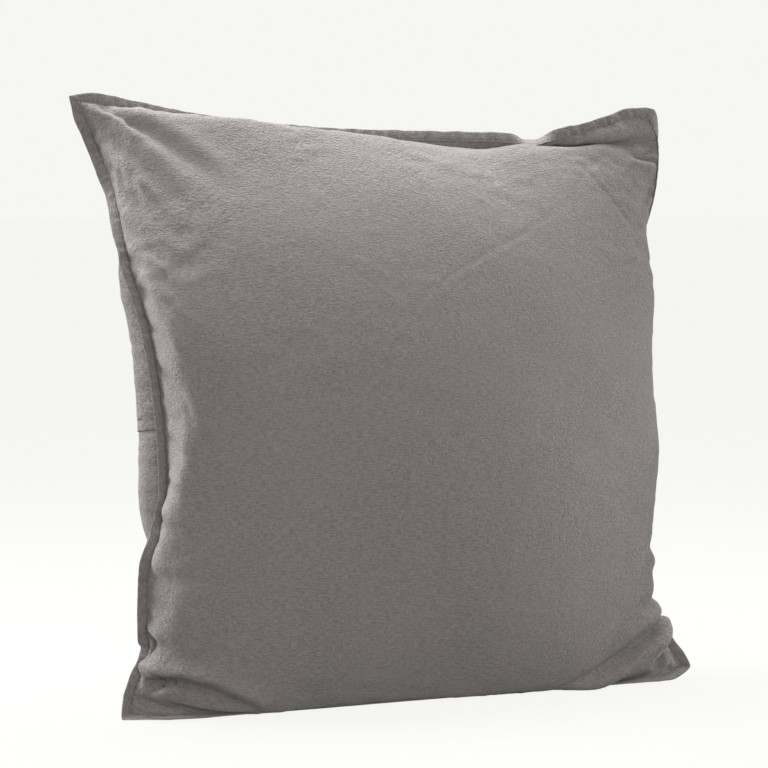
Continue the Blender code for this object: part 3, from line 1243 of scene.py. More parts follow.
@dataclass(frozen=True)
class CottonFinish:
    """Garment-washed cotton: plain weave, crinkle and slightly uneven dye."""

    name: str
    dyed: Color
    faded: Color
    deep: Color
    roughness: float = 0.90
    weave_depth: float = 0.00026
    crinkle_depth: float = 0.0014
    sheen: float = 0.25

    def material(self, weave: bpy.types.NodeTree, wash: bpy.types.NodeTree) -> bpy.types.Material:
        """The finished material.

        Args:
            weave: The plain weave effect.
            wash: The garment wash effect.

        Returns:
            A material that reads the piece's own cloth map.
        """
        material = bpy.data.materials.new(self.name)
        material.use_nodes = True
        g = Graph(material.node_tree)
        shader = material.node_tree.nodes["Principled BSDF"]
        where = g.add("ShaderNodeUVMap", uv_map=UV_LAYER).outputs["UV"]
        cloth = g.add("ShaderNodeGroup", node_tree=weave)
        washed = g.add("ShaderNodeGroup", node_tree=wash)
        g.link(where, cloth.inputs["Vector"])
        g.link(where, washed.inputs["Vector"])
        clouds = g.ranged(washed.outputs["Clouds"], 0.3, 0.7, 0.0, 0.55)
        color = g.mix(clouds, self.dyed, self.deep)
        threads = g.ranged(cloth.outputs["Thread shade"], 0.42, 0.58, 0.0, 0.65)
        color = g.mix(threads, color, self.faded)
        color = g.mix(g.math("MULTIPLY", washed.outputs["Fading"], 0.42), color, self.faded)
        g.link(color, shader.inputs["Base Color"])
        rough = g.ranged(cloth.outputs["Slubs"], 0.0, 1.0, self.roughness, self.roughness - 0.10)
        g.link(rough, shader.inputs["Roughness"])
        shader.inputs["Specular IOR Level"].default_value = 0.20
        shader.inputs["Sheen Weight"].default_value = self.sheen
        shader.inputs["Sheen Roughness"].default_value = 0.60
        crinkle = g.add("ShaderNodeBump")
        crinkle.inputs["Strength"].default_value = 1.0
        crinkle.inputs["Distance"].default_value = self.crinkle_depth
        g.link(washed.outputs["Height"], crinkle.inputs["Height"])
        grain = g.add("ShaderNodeBump")
        grain.inputs["Strength"].default_value = 1.0
        grain.inputs["Distance"].default_value = self.weave_depth
        g.link(cloth.outputs["Height"], grain.inputs["Height"])
        g.link(crinkle.outputs["Normal"], grain.inputs["Normal"])
        g.link(grain.outputs["Normal"], shader.inputs["Normal"])
        return material


@dataclass(frozen=True)
class ThreadFinish:
    """Spun sewing thread with its twist."""

    name: str = "Sewing thread"
    shade: Color = (0.190, 0.170, 0.165, 1.0)
    light: Color = (0.270, 0.245, 0.238, 1.0)

    def material(self) -> bpy.types.Material:
        """The finished material.

        Returns:
            The material.
        """
        material = bpy.data.materials.new(self.name)
        material.use_nodes = True
        g = Graph(material.node_tree)
        shader = material.node_tree.nodes["Principled BSDF"]
        where = g.add("ShaderNodeTexCoord").outputs["Object"]
        twist = g.add("ShaderNodeTexWave", wave_type="BANDS", bands_direction="DIAGONAL")
        g.link(where, twist.inputs["Vector"])
        twist.inputs["Scale"].default_value = 900.0
        twist.inputs["Distortion"].default_value = 1.5
        g.link(g.mix(twist.outputs["Fac"], self.shade, self.light), shader.inputs["Base Color"])
        g.link(g.ranged(g.noise(where, 400.0), 0.3, 0.7, 0.62, 0.80), shader.inputs["Roughness"])
        bump = g.add("ShaderNodeBump")
        bump.inputs["Distance"].default_value = 0.0001
        g.link(twist.outputs["Fac"], bump.inputs["Height"])
        g.link(bump.outputs["Normal"], shader.inputs["Normal"])
        return material


@dataclass(frozen=True)
class FillingFinish:
    """Soft white fibre."""

    name: str = "Fibre filling"
    light: Color = (0.88, 0.875, 0.865, 1.0)
    shade: Color = (0.76, 0.75, 0.735, 1.0)

    def material(self) -> bpy.types.Material:
        """The finished material.

        Returns:
            The material.
        """
        material = bpy.data.materials.new(self.name)
        material.use_nodes = True
        g = Graph(material.node_tree)
        shader = material.node_tree.nodes["Principled BSDF"]
        where = g.add("ShaderNodeTexCoord").outputs["Object"]
        strands = g.noise(g.stretched(where, (1.0, 0.3, 0.6), 0.4), 160.0, 4.0, 0.6)
        g.link(g.mix(strands, self.shade, self.light), shader.inputs["Base Color"])
        g.link(g.ranged(strands, 0.3, 0.7, 0.9, 1.0), shader.inputs["Roughness"])
        bump = g.add("ShaderNodeBump")
        bump.inputs["Distance"].default_value = 0.002
        g.link(strands, bump.inputs["Height"])
        g.link(bump.outputs["Normal"], shader.inputs["Normal"])
        return material


@dataclass
class Finishes:
    """All the materials of the pillow, by slot."""

    materials: dict[Slot, bpy.types.Material] = field(default_factory=dict)

    def make(self) -> None:
        """Builds the shared effects once and the materials from them."""
        weave = plain_weave_group()
        wash = garment_wash_group()
        cover = CottonFinish(
            "Washed cotton cover",
            dyed=(0.215, 0.192, 0.188, 1.0),
            faded=(0.330, 0.300, 0.294, 1.0),
            deep=(0.180, 0.160, 0.157, 1.0),
        )
        # The flange is sewn from the cover's own cotton. Its darker dyed, faded and deep colours are painted
        # shade on the flange.
        flange = CottonFinish(
            "Washed cotton flange with painted shade",
            dyed=(0.195, 0.174, 0.170, 1.0),
            faded=(0.300, 0.272, 0.266, 1.0),
            deep=(0.150, 0.133, 0.130, 1.0),
            crinkle_depth=0.0012,
        )
        ticking = CottonFinish(
            "White ticking",
            dyed=(0.80, 0.79, 0.77, 1.0),
            faded=(0.88, 0.875, 0.86, 1.0),
            deep=(0.72, 0.71, 0.69, 1.0),
        )
        self.materials[Slot.COVER] = cover.material(weave, wash)
        self.materials[Slot.FLANGE] = flange.material(weave, wash)
        self.materials[Slot.TICKING] = ticking.material(weave, wash)
        self.materials[Slot.THREAD] = ThreadFinish().material()
        self.materials[Slot.FILLING] = FillingFinish().material()

    def dress(self, piece: bpy.types.Object, slot: Slot) -> None:
        """Puts a slot's material on a piece.

        Args:
            piece: The piece.
            slot: The slot.
        """
        piece.data.materials.clear()
        piece.data.materials.append(self.materials[slot])


def place_piece(piece: bpy.types.Object, nodes: Sequence[str]) -> bpy.types.Object:
    """Makes a piece ride on the pillow's body and stand for its CAD nodes.

    Args:
        piece: The piece.
        nodes: The CAD nodes that it stands for.

    Returns:
        The same piece.
    """
    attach(piece, BODY)
    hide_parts(*nodes)
    LOG.info("%s stands for %s", piece.name, ", ".join(nodes))
    return piece


# ---------------------------------------------------------------------------------------------------
# The panels of the cover


@dataclass
class CoverPanels:
    """The front panel and the two overlapping back panels."""

    sizes: CoverSizes
    front: PanelSurface
    back: PanelSurface
    finishes: Finishes
    columns: int = 212
    rows: int = 212
    upper_rows: int = 120
    lower_rows: int = 140
    # How far the layers of the closure stand apart, and where that fades out beside the side seams.
    layer_gap: float = 0.0012
    layer_fade: tuple[float, float] = (0.025, 0.095)
    closure_fade: float = 0.02
    # The upper hem: rows of its folded edge, its step, the dent of its stitches and the ripple beside them.
    edge_rows: tuple[float, float, float] = (0.0, 0.0012, 0.0026)
    body_start: float = 0.004
    turn_of_hem: float = 0.0015
    hem_step: float = 0.0007
    stitch_dent: float = 0.0005
    ripple: float = 0.0005
    ripple_reach: float = 0.012
    ripple_seed: int = 91
    # How far the free edge gapes between the bar tacks, and how that varies along it.
    gape: float = 0.0035
    gape_reach: float = 0.022
    gape_fade: tuple[float, float] = (0.05, 0.11)
    gape_turns: float = 9.0
    gape_shift: float = 0.8
    # The lower panel: how far it lies beneath the upper one, where that starts, and the step of its hem.
    tucked_under: float = 0.0016
    tuck_start: tuple[float, float] = (-0.012, 0.004)
    tuck_fade: tuple[float, float] = (0.0, 0.012)
    lower_hem_step: float = 0.0004

    def flat_grid(self, u: Points, v: Points) -> Points:
        """Flat places of a grid, as pairs."""
        return np.stack(np.meshgrid(u, v, indexing="ij"), -1)

    def in_hem(self, from_edge: Points) -> Points:
        """1 inside a panel's hem and 0 beyond its stitches, for distances from the free edge."""
        depth = self.sizes.hem_depth
        return 1.0 - smooth(depth - self.turn_of_hem, depth + self.turn_of_hem, from_edge)

    def build_front(self) -> bpy.types.Object:
        """The square front panel.

        Returns:
            The new piece.
        """
        u = seam_graded_axis(self.sizes.half, self.columns)
        v = seam_graded_axis(self.sizes.half, self.rows)
        places, _ = self.front.detailed(u, v)
        piece = sheet_from_points("cover_front", places, self.flat_grid(u, v), Vector((0, -1, 0)))
        thicken(piece, self.sizes.cloth)
        return piece

    def build_upper(self) -> bpy.types.Object:
        """The upper back panel, with its deep hem standing free across the closure.

        Returns:
            The new piece.
        """
        sizes = self.sizes
        u = seam_graded_axis(sizes.half, self.columns)
        body_rows = seam_graded_axis(sizes.half, self.upper_rows, low=sizes.hem_edge + self.body_start)
        v = np.concatenate([sizes.hem_edge + np.array(self.edge_rows), body_rows])
        places, normals = self.back.detailed(u, v)
        from_edge = (v - sizes.hem_edge)[None, :]
        fade = self.closure_fade
        over_closure = 1.0 - smooth(sizes.overlap - fade, sizes.overlap + fade, from_edge)
        from_side = sizes.half - np.abs(u)
        ends = smooth(*self.layer_fade, from_side)[:, None]
        lift = self.layer_gap * over_closure * ends
        lift = lift + self.hem_step * self.in_hem(from_edge) * ends
        stitched = np.exp(-(((from_edge - sizes.hem_depth + sizes.stitch_inset) / self.turn_of_hem) ** 2))
        lift = lift - self.stitch_dent * stitched * ends
        uneven = 0.5 + 0.5 * np.sin(self.gape_turns * u / sizes.half + self.gape_shift)
        gaping = uneven * smooth(*self.gape_fade, from_side)
        lift = lift + (self.gape * gaping)[:, None] * np.exp(-from_edge / self.gape_reach)
        beside_stitches = np.exp(-(((from_edge - sizes.hem_depth) / self.ripple_reach) ** 2))
        ripple = pucker_wave(self.ripple_seed, u / sizes.half)[:, None] * beside_stitches
        lift = lift + self.ripple * ripple * ends
        raised = places + normals * lift[..., None]
        piece = sheet_from_points("cover_back_upper", raised, self.flat_grid(u, v), Vector((0, 1, 0)))
        thicken(piece, sizes.cloth)
        return piece

    def build_lower(self) -> bpy.types.Object:
        """The lower back panel, whose hemmed edge lies beneath the upper one.

        Returns:
            The new piece.
        """
        sizes = self.sizes
        u = seam_graded_axis(sizes.half, self.columns)
        top = sizes.hem_edge + sizes.overlap
        v = seam_graded_axis(sizes.half, self.lower_rows, high=top)
        places, normals = self.back.detailed(u, v)
        from_edge = (top - v)[None, :]
        beneath = smooth(*self.tuck_start, v - sizes.hem_edge)[None, :]
        ends = smooth(*self.tuck_fade, sizes.half - np.abs(u))[:, None]
        lift = -self.tucked_under * beneath * ends + self.lower_hem_step * self.in_hem(from_edge) * ends
        lowered = places + normals * lift[..., None]
        piece = sheet_from_points("cover_back_lower", lowered, self.flat_grid(u, v), Vector((0, 1, 0)))
        thicken(piece, sizes.cloth)
        return piece

    def build(self) -> None:
        made = (
            (self.build_front(), "cover_front_panel"),
            (self.build_upper(), "cover_back_upper_panel"),
            (self.build_lower(), "cover_back_lower_panel"),
        )
        for piece, node in made:
            self.finishes.dress(piece, Slot.COVER)
            place_piece(piece, [node])


# ---------------------------------------------------------------------------------------------------
# The flange


@dataclass
class SeamFrame:
    """The seam all the way round, with the directions that the flange and its stitches need."""

    sizes: CoverSizes
    outline: SeamOutline
    front: PanelSurface
    back: PanelSurface
    spacing: float = 0.0018
    # How blunt the flange's corner is at the lower left, lower right, upper right and upper left ear.
    blunt: tuple[float, float, float, float] = (0.14, 0.34, 0.30, 0.10)
    mitre: float = 0.014
    # How many neighbours even out the slack and the forward directions.
    slack_reach: int = 12
    forward_reach: int = 5
    places: Points = field(default_factory=lambda: np.zeros((0, 3)))
    rays: Points = field(default_factory=lambda: np.zeros((0, 3)))
    fronts: Points = field(default_factory=lambda: np.zeros((0, 3)))
    flat: Points = field(default_factory=lambda: np.zeros((0, 2)))
    wave: Points = field(default_factory=lambda: np.zeros(0))
    ticks: Points = field(default_factory=lambda: np.zeros(0))
    slack: Points = field(default_factory=lambda: np.zeros(0))

    def side_arrays(self, side: Side, shares: Points) -> tuple[Points, Points, Points]:
        """The seam along one side.

        Args:
            side: The side.
            shares: Places along it, from -1 to 1.

        Returns:
            Places, outward directions and forward directions of the flange.
        """
        half = self.sizes.half
        flat = np.array([-half, half])
        if side in (Side.LEFT, Side.RIGHT):
            edge = flat[:1] if side is Side.LEFT else flat[1:]
            places = self.front.base(edge, shares * half)[0][0]
        else:
            edge = flat[:1] if side is Side.BOTTOM else flat[1:]
            places = self.front.base(shares * half, edge)[0][:, 0]
        tangent = unit(np.gradient(places, axis=0))
        plane_normal = unit(np.array([0.0, -1.0, math.tan(self.sizes.lean)]))
        turn = {Side.LEFT: 1.0, Side.RIGHT: -1.0, Side.BOTTOM: -1.0, Side.TOP: 1.0}[side]
        outward = unit(np.cross(tangent, plane_normal)) * -turn
        forward = unit(np.cross(outward, tangent))
        forward = forward * np.sign(forward @ plane_normal)[:, None]
        roll = self.outline.rolls(side, shares)[:, None]
        rolled = outward * np.cos(roll) + forward * np.sin(roll)
        front = forward * np.cos(roll) - outward * np.sin(roll)
        return places, rolled, front

    def build(self) -> None:
        """Walks round the seam: bottom, right, top and left."""
        half = self.sizes.half
        count = int(round(2.0 * half / self.spacing))
        shares = np.linspace(-1.0, 1.0, count + 1)
        order = ((Side.BOTTOM, False), (Side.RIGHT, False), (Side.TOP, True), (Side.LEFT, True))
        parts = []
        for side, backwards in order:
            places, rays, fronts = self.side_arrays(side, shares)
            along = shares * half
            edge = np.full_like(along, half)
            flat = {
                Side.BOTTOM: np.stack([along, -edge], -1),
                Side.RIGHT: np.stack([edge, along], -1),
                Side.TOP: np.stack([along, edge], -1),
                Side.LEFT: np.stack([-edge, along], -1),
            }[side]
            slack = np.cos(self.outline.rolls(side, shares)) ** 2
            rows = [places, rays, fronts, flat, slack]
            parts.append([row[::-1] if backwards else row for row in rows])
        near = np.clip((self.mitre - (1.0 - np.abs(shares)) * half) / self.mitre, 0.0, 1.0)
        mitred = []
        for index, part in enumerate(parts):
            before = parts[index - 1][1][-1]
            after = parts[(index + 1) % 4][1][0]
            k = near[:, None]
            first = np.arange(count + 1)[:, None] < count / 2
            cut = 1.0 - k**2 * np.where(first, self.blunt[index], self.blunt[(index + 1) % 4])
            mitred.append((part[1] + k * np.where(first, before, after)) * cut)
        self.places = np.concatenate([part[0][:-1] for part in parts])
        self.rays = np.concatenate([rays[:-1] for rays in mitred])
        self.fronts = unit(np.concatenate([part[2][:-1] for part in parts]))
        slack = np.concatenate([part[4][:-1] for part in parts])[:, None]
        self.slack = self.blurred(slack, self.slack_reach)[:, 0]
        self.flat = np.concatenate([part[3][:-1] for part in parts])
        self.fronts = unit(self.blurred(self.fronts, self.forward_reach))
        around = np.linspace(-1.0, 1.0, len(self.places), endpoint=False)
        self.wave = (0.5 * pucker_wave(5, around * 4.0) + 0.5 * pucker_wave(6, around * 3.0)) * self.slack
        self.ticks = pucker_wave(9, around * 8.0) * self.slack

    def blurred(self, values: Points, reach: int) -> Points:
        """Values round the seam, each averaged with its neighbours.

        Args:
            values: One row for each place round the seam.
            reach: How many neighbours count on each side.

        Returns:
            The averaged rows.
        """
        total = np.zeros_like(values)
        for shift in range(-reach, reach + 1):
            total = total + np.roll(values, shift, axis=0) * (1.0 + math.cos(math.pi * shift / (reach + 1)))
        return total / (2.0 * reach + 2.0)


@dataclass
class Flange:
    """The doubled edge that stands out all round, folded at its outer edge and gathered at its root."""

    sizes: CoverSizes
    frame: SeamFrame
    finishes: Finishes
    root: float = -0.0012
    wave_height: float = 0.0011
    # The gathers: their height, and their middle and spread as shares of the width.
    tick_height: float = 0.0012
    tick_middle: float = 0.25
    tick_spread: float = 0.45
    uneven_width: float = 0.035
    uneven_thickness: float = 0.18
    # How far its two faces stay above the ground.
    lower_clearance: float = 0.0004
    face_clearance: float = 0.0003

    def section(self) -> Points:
        """The cross-section from the root's front, round the outer edge, to the root's back.

        Returns:
            Rows of share of the width, and share of half the thickness.
        """
        return np.array(
            [
                (0.00, 0.45), (0.10, 0.55), (0.16, 0.40), (0.24, 0.85), (0.45, 1.00), (0.70, 0.90),
                (0.90, 0.80), (0.975, 0.55), (1.00, 0.00), (0.975, -0.55), (0.90, -0.80), (0.70, -0.90),
                (0.45, -1.00), (0.24, -0.85), (0.16, -0.40), (0.10, -0.55), (0.00, -0.45),
            ]
        )

    def offset(self, index: Points, reach: Points) -> Points:
        """How far the flange waves forward.

        Args:
            index: Numbers of places round the seam.
            reach: Distances from the root.

        Returns:
            The forward movement at each place and distance.
        """
        share = np.clip(reach / self.sizes.flange_width, 0.0, 1.0)
        near_root = np.exp(-(((share - self.tick_middle) / self.tick_spread) ** 2))
        gathers = self.frame.ticks[index] * self.tick_height * near_root
        return self.frame.wave[index] * self.wave_height * share + gathers

    def build(self) -> bpy.types.Object:
        """Returns:
            The new piece.
        """
        frame = self.frame
        section = self.section()
        count = len(frame.places)
        index = np.arange(count)[:, None]
        width = self.sizes.flange_width
        uneven = 1.0 + self.uneven_width * pucker_wave(8, np.linspace(-3.0, 3.0, count))[:, None]
        reach = (self.root + (width - self.root) * section[None, :, 0]) * uneven
        half_thickness = self.sizes.flange_thickness / 2.0
        thin = section[None, :, 1] * half_thickness * (1.0 + self.uneven_thickness * frame.wave[:, None])
        forward = thin + self.offset(index, reach)
        places = frame.places[:, None] + frame.rays[:, None] * reach[..., None]
        places = places + frame.fronts[:, None] * forward[..., None]
        clearance = self.lower_clearance + self.face_clearance * (section[None, :, 1] + 1.0)
        places[..., 2] = np.maximum(places[..., 2], clearance)
        places = np.concatenate([places, places[:1]])
        arc = np.concatenate([[0.0], np.cumsum(np.linalg.norm(np.diff(frame.places, axis=0), axis=1))])
        arc = np.concatenate([arc, [arc[-1] + self.frame.spacing]])
        section_steps = np.linalg.norm(np.diff(section * (width, half_thickness), axis=0), axis=1)
        girth = np.concatenate([[0.0], np.cumsum(section_steps)])
        flat = np.stack(np.broadcast_arrays(arc[:, None], girth[None, :]), -1)
        piece = sheet_from_points("flange", places, flat, Vector((0, 0, 1)))
        work = bmesh.new()
        work.from_mesh(piece.data)
        bmesh.ops.remove_doubles(work, verts=list(work.verts), dist=1e-6)
        rims = [edge for edge in work.edges if edge.is_boundary]
        if rims:
            bmesh.ops.bridge_loops(work, edges=rims)
        bmesh.ops.recalc_face_normals(work, faces=list(work.faces))
        work.to_mesh(piece.data)
        work.free()
        piece.data.shade_smooth()
        # The flange's darker cotton is painted shade.
        self.finishes.dress(piece, Slot.FLANGE)
        place_piece(piece, ["flange_band"])
        return piece


# ---------------------------------------------------------------------------------------------------
# Stitching


@dataclass
class Stitching:
    """The topstitch at the root of the flange, the hems' rows of stitches, and the two bar tacks."""

    sizes: CoverSizes
    frame: SeamFrame
    back: PanelSurface
    finishes: Finishes
    flange: Flange
    panels: CoverPanels
    pitch: float = 0.0032
    length: float = 0.0026
    radius: float = 0.00022
    inset: float = 0.0015
    # Where the topstitch lies, as a share of half the flange's thickness.
    sunk_in: float = 0.52
    ground_clearance: float = 0.0012
    # Half the distance over which a stitch reads its direction.
    direction_step: float = 0.001
    # The hem rows: how far they stay from the seams, and how far they stand off the plain surface.
    row_margin: float = 0.004
    row_samples: int = 900
    upper_row_lift: tuple[float, float] = (0.0016, 0.0001)
    lower_row_lift: tuple[float, float] = (-0.0012, -0.0012)
    # The bar tacks: distance from the side seam, spacing of the upright and the level stitches, how far
    # the level ones lie from the middle, how far both stand out, and the step that reads a direction.
    tack_inset: float = 0.022
    upright_pitch: float = 0.0011
    level_pitch: float = 0.0024
    level_rise: float = 0.0006
    tack_lift: tuple[float, float] = (0.0004, 0.0006)
    tack_step: float = 0.002

    def run_of_stitches(self, name: str, middles: Points, along: Points, up: Points) -> bpy.types.Object:
        """One piece made of many stitches: small beads of thread that dip at their ends.

        Args:
            name: The name of the piece.
            middles: The middle of each stitch.
            along: The direction of each stitch.
            up: The direction away from the cloth at each stitch.

        Returns:
            The new object.
        """
        count = len(middles)
        work = bmesh.new()
        bmesh.ops.create_uvsphere(work, u_segments=6, v_segments=4, radius=1.0)
        size = len(work.verts)
        faces = len(work.faces)
        while len(work.verts) < size * count:
            missing = count - len(work.verts) // size
            work.faces.ensure_lookup_table()
            bmesh.ops.duplicate(work, geom=work.faces[: missing * faces])
        mesh = bpy.data.meshes.new(name)
        work.to_mesh(mesh)
        work.free()
        bead = np.empty(len(mesh.vertices) * 3, np.float32)
        mesh.vertices.foreach_get("co", bead)
        bead = bead.reshape(count, size, 3)
        along = unit(along)
        side = unit(np.cross(up, along))
        rise = np.cross(along, side)
        x, y, z = (bead[..., k, None] for k in range(3))
        places = middles[:, None] + along[:, None] * z * (self.length / 2.0)
        places = places + side[:, None] * x * self.radius
        places = places + rise[:, None] * (y * self.radius - 0.5 * self.radius * z * z)
        mesh.vertices.foreach_set("co", places.astype(np.float32).ravel())
        mesh.update()
        mesh.shade_smooth()
        piece = new_object(name, mesh)
        self.finishes.dress(piece, Slot.THREAD)
        return piece

    def along_seam(self, face: float) -> tuple[Points, Points, Points]:
        """Evenly spaced places all the way round the flange, beside the seam.

        Args:
            face: 1 for the flange's front and -1 for its back.

        Returns:
            Places, directions and the forward direction at each stitch.
        """
        frame = self.frame
        index = np.arange(len(frame.places))
        wave = self.flange.offset(index, np.full(len(index), self.inset))
        level = wave + face * self.sizes.flange_thickness / 2.0 * self.sunk_in
        line = frame.places + frame.rays * self.inset
        line = line + frame.fronts * level[:, None]
        loop = np.concatenate([line, line[:1]])
        fronts = np.concatenate([frame.fronts, frame.fronts[:1]])
        steps = np.linalg.norm(np.diff(loop, axis=0), axis=1)
        arc = np.concatenate([[0.0], np.cumsum(steps)])
        at = np.arange(self.pitch / 2.0, arc[-1], self.pitch)
        places = np.stack([np.interp(at, arc, loop[:, k]) for k in range(3)], -1)
        step = self.direction_step
        ahead = np.stack([np.interp(at + step, arc, loop[:, k]) for k in range(3)], -1)
        behind = np.stack([np.interp(at - step, arc, loop[:, k]) for k in range(3)], -1)
        forward = np.stack([np.interp(at, arc, fronts[:, k]) for k in range(3)], -1)
        return places, ahead - behind, forward

    def build_topstitch(self) -> None:
        """The topstitch round the flange, on both of its faces."""
        runs = []
        for face in (1.0, -1.0):
            places, directions, forwards = self.along_seam(face)
            clear = places[:, 2] > self.ground_clearance
            runs.append((places[clear], directions[clear], forwards[clear] * face))
        middles, along, up = (np.concatenate(rows) for rows in zip(*runs))
        piece = self.run_of_stitches("flange_topstitching", middles, along, up)
        place_piece(piece, ["flange_topstitch", "flange_topstitch_under"])

    def build_hem_row(self, name: str, node: str, v: float, lifts: tuple[float, float]) -> None:
        """A row of stitches across the back.

        Args:
            name: The name of the piece.
            node: The node it stands for.
            v: Its height on the flat cloth.
            lifts: How far it stands off the plain surface in the middle and beside the seams.
        """
        half = self.sizes.half
        middle_lift, side_lift = lifts
        u = np.linspace(-half + self.row_margin, half - self.row_margin, self.row_samples)
        line, normals = self.back.detailed(u, np.array([v]))
        share = smooth(*self.panels.layer_fade, half - np.abs(u))[:, None]
        line = line[:, 0] + normals[:, 0] * (side_lift + (middle_lift - side_lift) * share)
        arc = np.concatenate([[0.0], np.cumsum(np.linalg.norm(np.diff(line, axis=0), axis=1))])
        at = np.arange(self.pitch / 2.0, arc[-1], self.pitch)

        def read(places: Points, rows: Points) -> Points:
            """The rows at distances along the line."""
            return np.stack([np.interp(places, arc, rows[:, k]) for k in range(3)], -1)

        along = read(at + self.direction_step, line) - read(at - self.direction_step, line)
        piece = self.run_of_stitches(name, read(at, line), along, read(at, normals[:, 0]))
        place_piece(piece, [node])

    def build_bar_tack(self, name: str, node: str, side: float) -> None:
        """A dense bar of thread that holds one end of the closure.

        Args:
            name: The name of the piece.
            node: The node it stands for.
            side: 1 or -1, for the end at the larger or the smaller X.
        """
        sizes = self.sizes
        middle_u = side * (sizes.half - self.tack_inset)
        middle_v = sizes.hem_edge + sizes.hem_depth / 2.0
        offsets = [((index - 5) * self.upright_pitch, 0.0, True) for index in range(11)]
        for rise in (-self.level_rise, self.level_rise):
            offsets += [((index - 2) * self.level_pitch, rise, False) for index in range(5)]
        rows = []
        for across, rise, upright in offsets:
            u = np.array([middle_u + across, middle_u + across + self.tack_step])
            v = np.array([middle_v + rise, middle_v + rise + self.tack_step])
            places, normals = self.back.base(u, v)
            along = places[0, 1] - places[0, 0] if upright else places[1, 0] - places[0, 0]
            lift = self.tack_lift[int(upright)]
            rows.append((places[0, 0] + normals[0, 0] * lift, along, normals[0, 0]))
        middles, along, up = (np.array(column) for column in zip(*rows))
        place_piece(self.run_of_stitches(name, middles, along, up), [node])

    def build(self) -> None:
        """Builds every run of stitches."""
        sizes = self.sizes
        self.build_topstitch()
        upper = sizes.hem_edge + sizes.hem_depth - sizes.stitch_inset
        self.build_hem_row("upper_hem_stitches", "upper_hem_stitch", upper, self.upper_row_lift)
        lower = sizes.hem_edge + sizes.overlap - sizes.hem_depth + sizes.stitch_inset
        self.build_hem_row("lower_hem_stitches", "lower_hem_stitch", lower, self.lower_row_lift)
        self.build_bar_tack("bar_tack_left", "closure_bar_tack_left", 1.0)
        self.build_bar_tack("bar_tack_right", "closure_bar_tack_right", -1.0)


# ---------------------------------------------------------------------------------------------------
# The insert


@dataclass
class Insert:
    """The insert's white casing and its fibre filling."""

    sizes: CoverSizes
    front: PanelSurface
    back: PanelSurface
    finishes: Finishes
    steps: int = 72
    casing_depth: float = 0.0120
    filling_depth: float = 0.0150
    seam_room: float = 0.036
    # How thick the cover is, in depths, where the two sides start to part and where they are fully apart.
    parting: tuple[float, float] = (2.5, 9.0)
    # How far its corners and its rim are drawn towards the heart of the pillow, as shares of the way.
    corner_draw: float = 0.36
    corner_range: tuple[float, float] = (0.34, 1.0)
    rim_draw: float = 0.15
    rim_reach: float = 0.070
    fill: float = 0.8

    def build_shell(self, name: str, depth: float, room: float) -> bpy.types.Object:
        """A closed form inside the cover.

        Args:
            name: The name of the piece.
            depth: How far it stays below the cover.
            room: How far it stays from the seams on the flat cloth.

        Returns:
            The new object.
        """
        half = self.sizes.half - room
        axis = seam_graded_axis(half, self.steps)
        front_places, front_normals = self.front.base(axis, axis)
        back_places, back_normals = self.back.base(axis, axis)
        middle = (front_places + back_places) / 2.0
        shells = []
        for places, normals in ((front_places, front_normals), (back_places, back_normals)):
            inner = places - normals * depth
            gap = np.linalg.norm(front_places - back_places, axis=-1, keepdims=True)
            share = smooth(self.parting[0] * depth, self.parting[1] * depth, gap)
            shells.append(middle * (1 - share) + inner * share)
        edge = np.minimum(half - np.abs(axis)[:, None], half - np.abs(axis)[None, :])
        rim = (edge < 1e-9)[..., None]
        shells = [np.where(rim, middle, shell) for shell in shells]
        product = np.abs(axis)[:, None] * np.abs(axis)[None, :] / half**2
        corners = self.corner_draw * smooth(*self.corner_range, product)
        sides = self.rim_draw * (1.0 - smooth(0.0, self.rim_reach, edge))
        drawn = np.maximum(corners, sides)[..., None]
        heart = middle[self.steps // 2, self.steps // 2]
        shells = [shell + (heart - shell) * drawn for shell in shells]
        grid = np.stack(np.meshgrid(axis, axis, indexing="ij"), -1)
        work = bmesh.new()
        for shell, facing in zip(shells, (Vector((0, -1, 0)), Vector((0, 1, 0)))):
            half_piece = sheet_from_points(name + "_half", shell, grid, facing)
            work.from_mesh(half_piece.data)
            mesh = half_piece.data
            bpy.data.objects.remove(half_piece)
            bpy.data.meshes.remove(mesh)
        bmesh.ops.remove_doubles(work, verts=list(work.verts), dist=1e-6)
        bmesh.ops.recalc_face_normals(work, faces=list(work.faces))
        return finish_mesh(name, work)

    def build(self) -> None:
        casing = self.build_shell("insert_casing", self.casing_depth, self.seam_room)
        self.finishes.dress(casing, Slot.TICKING)
        place_piece(casing, ["insert_front_ticking", "insert_back_ticking"])
        filling = self.build_shell("insert_fibre", self.filling_depth, 2.0 * self.seam_room)
        self.finishes.dress(filling, Slot.FILLING)
        place_piece(filling, ["insert_filling"])


# ---------------------------------------------------------------------------------------------------
# The studio


@dataclass(frozen=True)
class SoftBox:
    """One large soft light.

    Attributes:
        name: What the light is for.
        place: Where it stands.
        aim: What it points at.
        size: Its width and height.
        power: Its power in watts.
    """

    name: str
    place: tuple[float, float, float]
    aim: tuple[float, float, float]
    size: tuple[float, float]
    power: float

    def build(self) -> None:
        """Adds the light."""
        data = bpy.data.lights.new(self.name, "AREA")
        data.shape = "RECTANGLE"
        data.size = self.size[0]
        data.size_y = self.size[1]
        data.energy = self.power
        lamp = bpy.data.objects.new(self.name, data)
        bpy.context.scene.collection.objects.link(lamp)
        lamp.location = self.place
        direction = Vector(self.aim) - Vector(self.place)
        lamp.rotation_euler = direction.to_track_quat("-Z", "Y").to_euler()


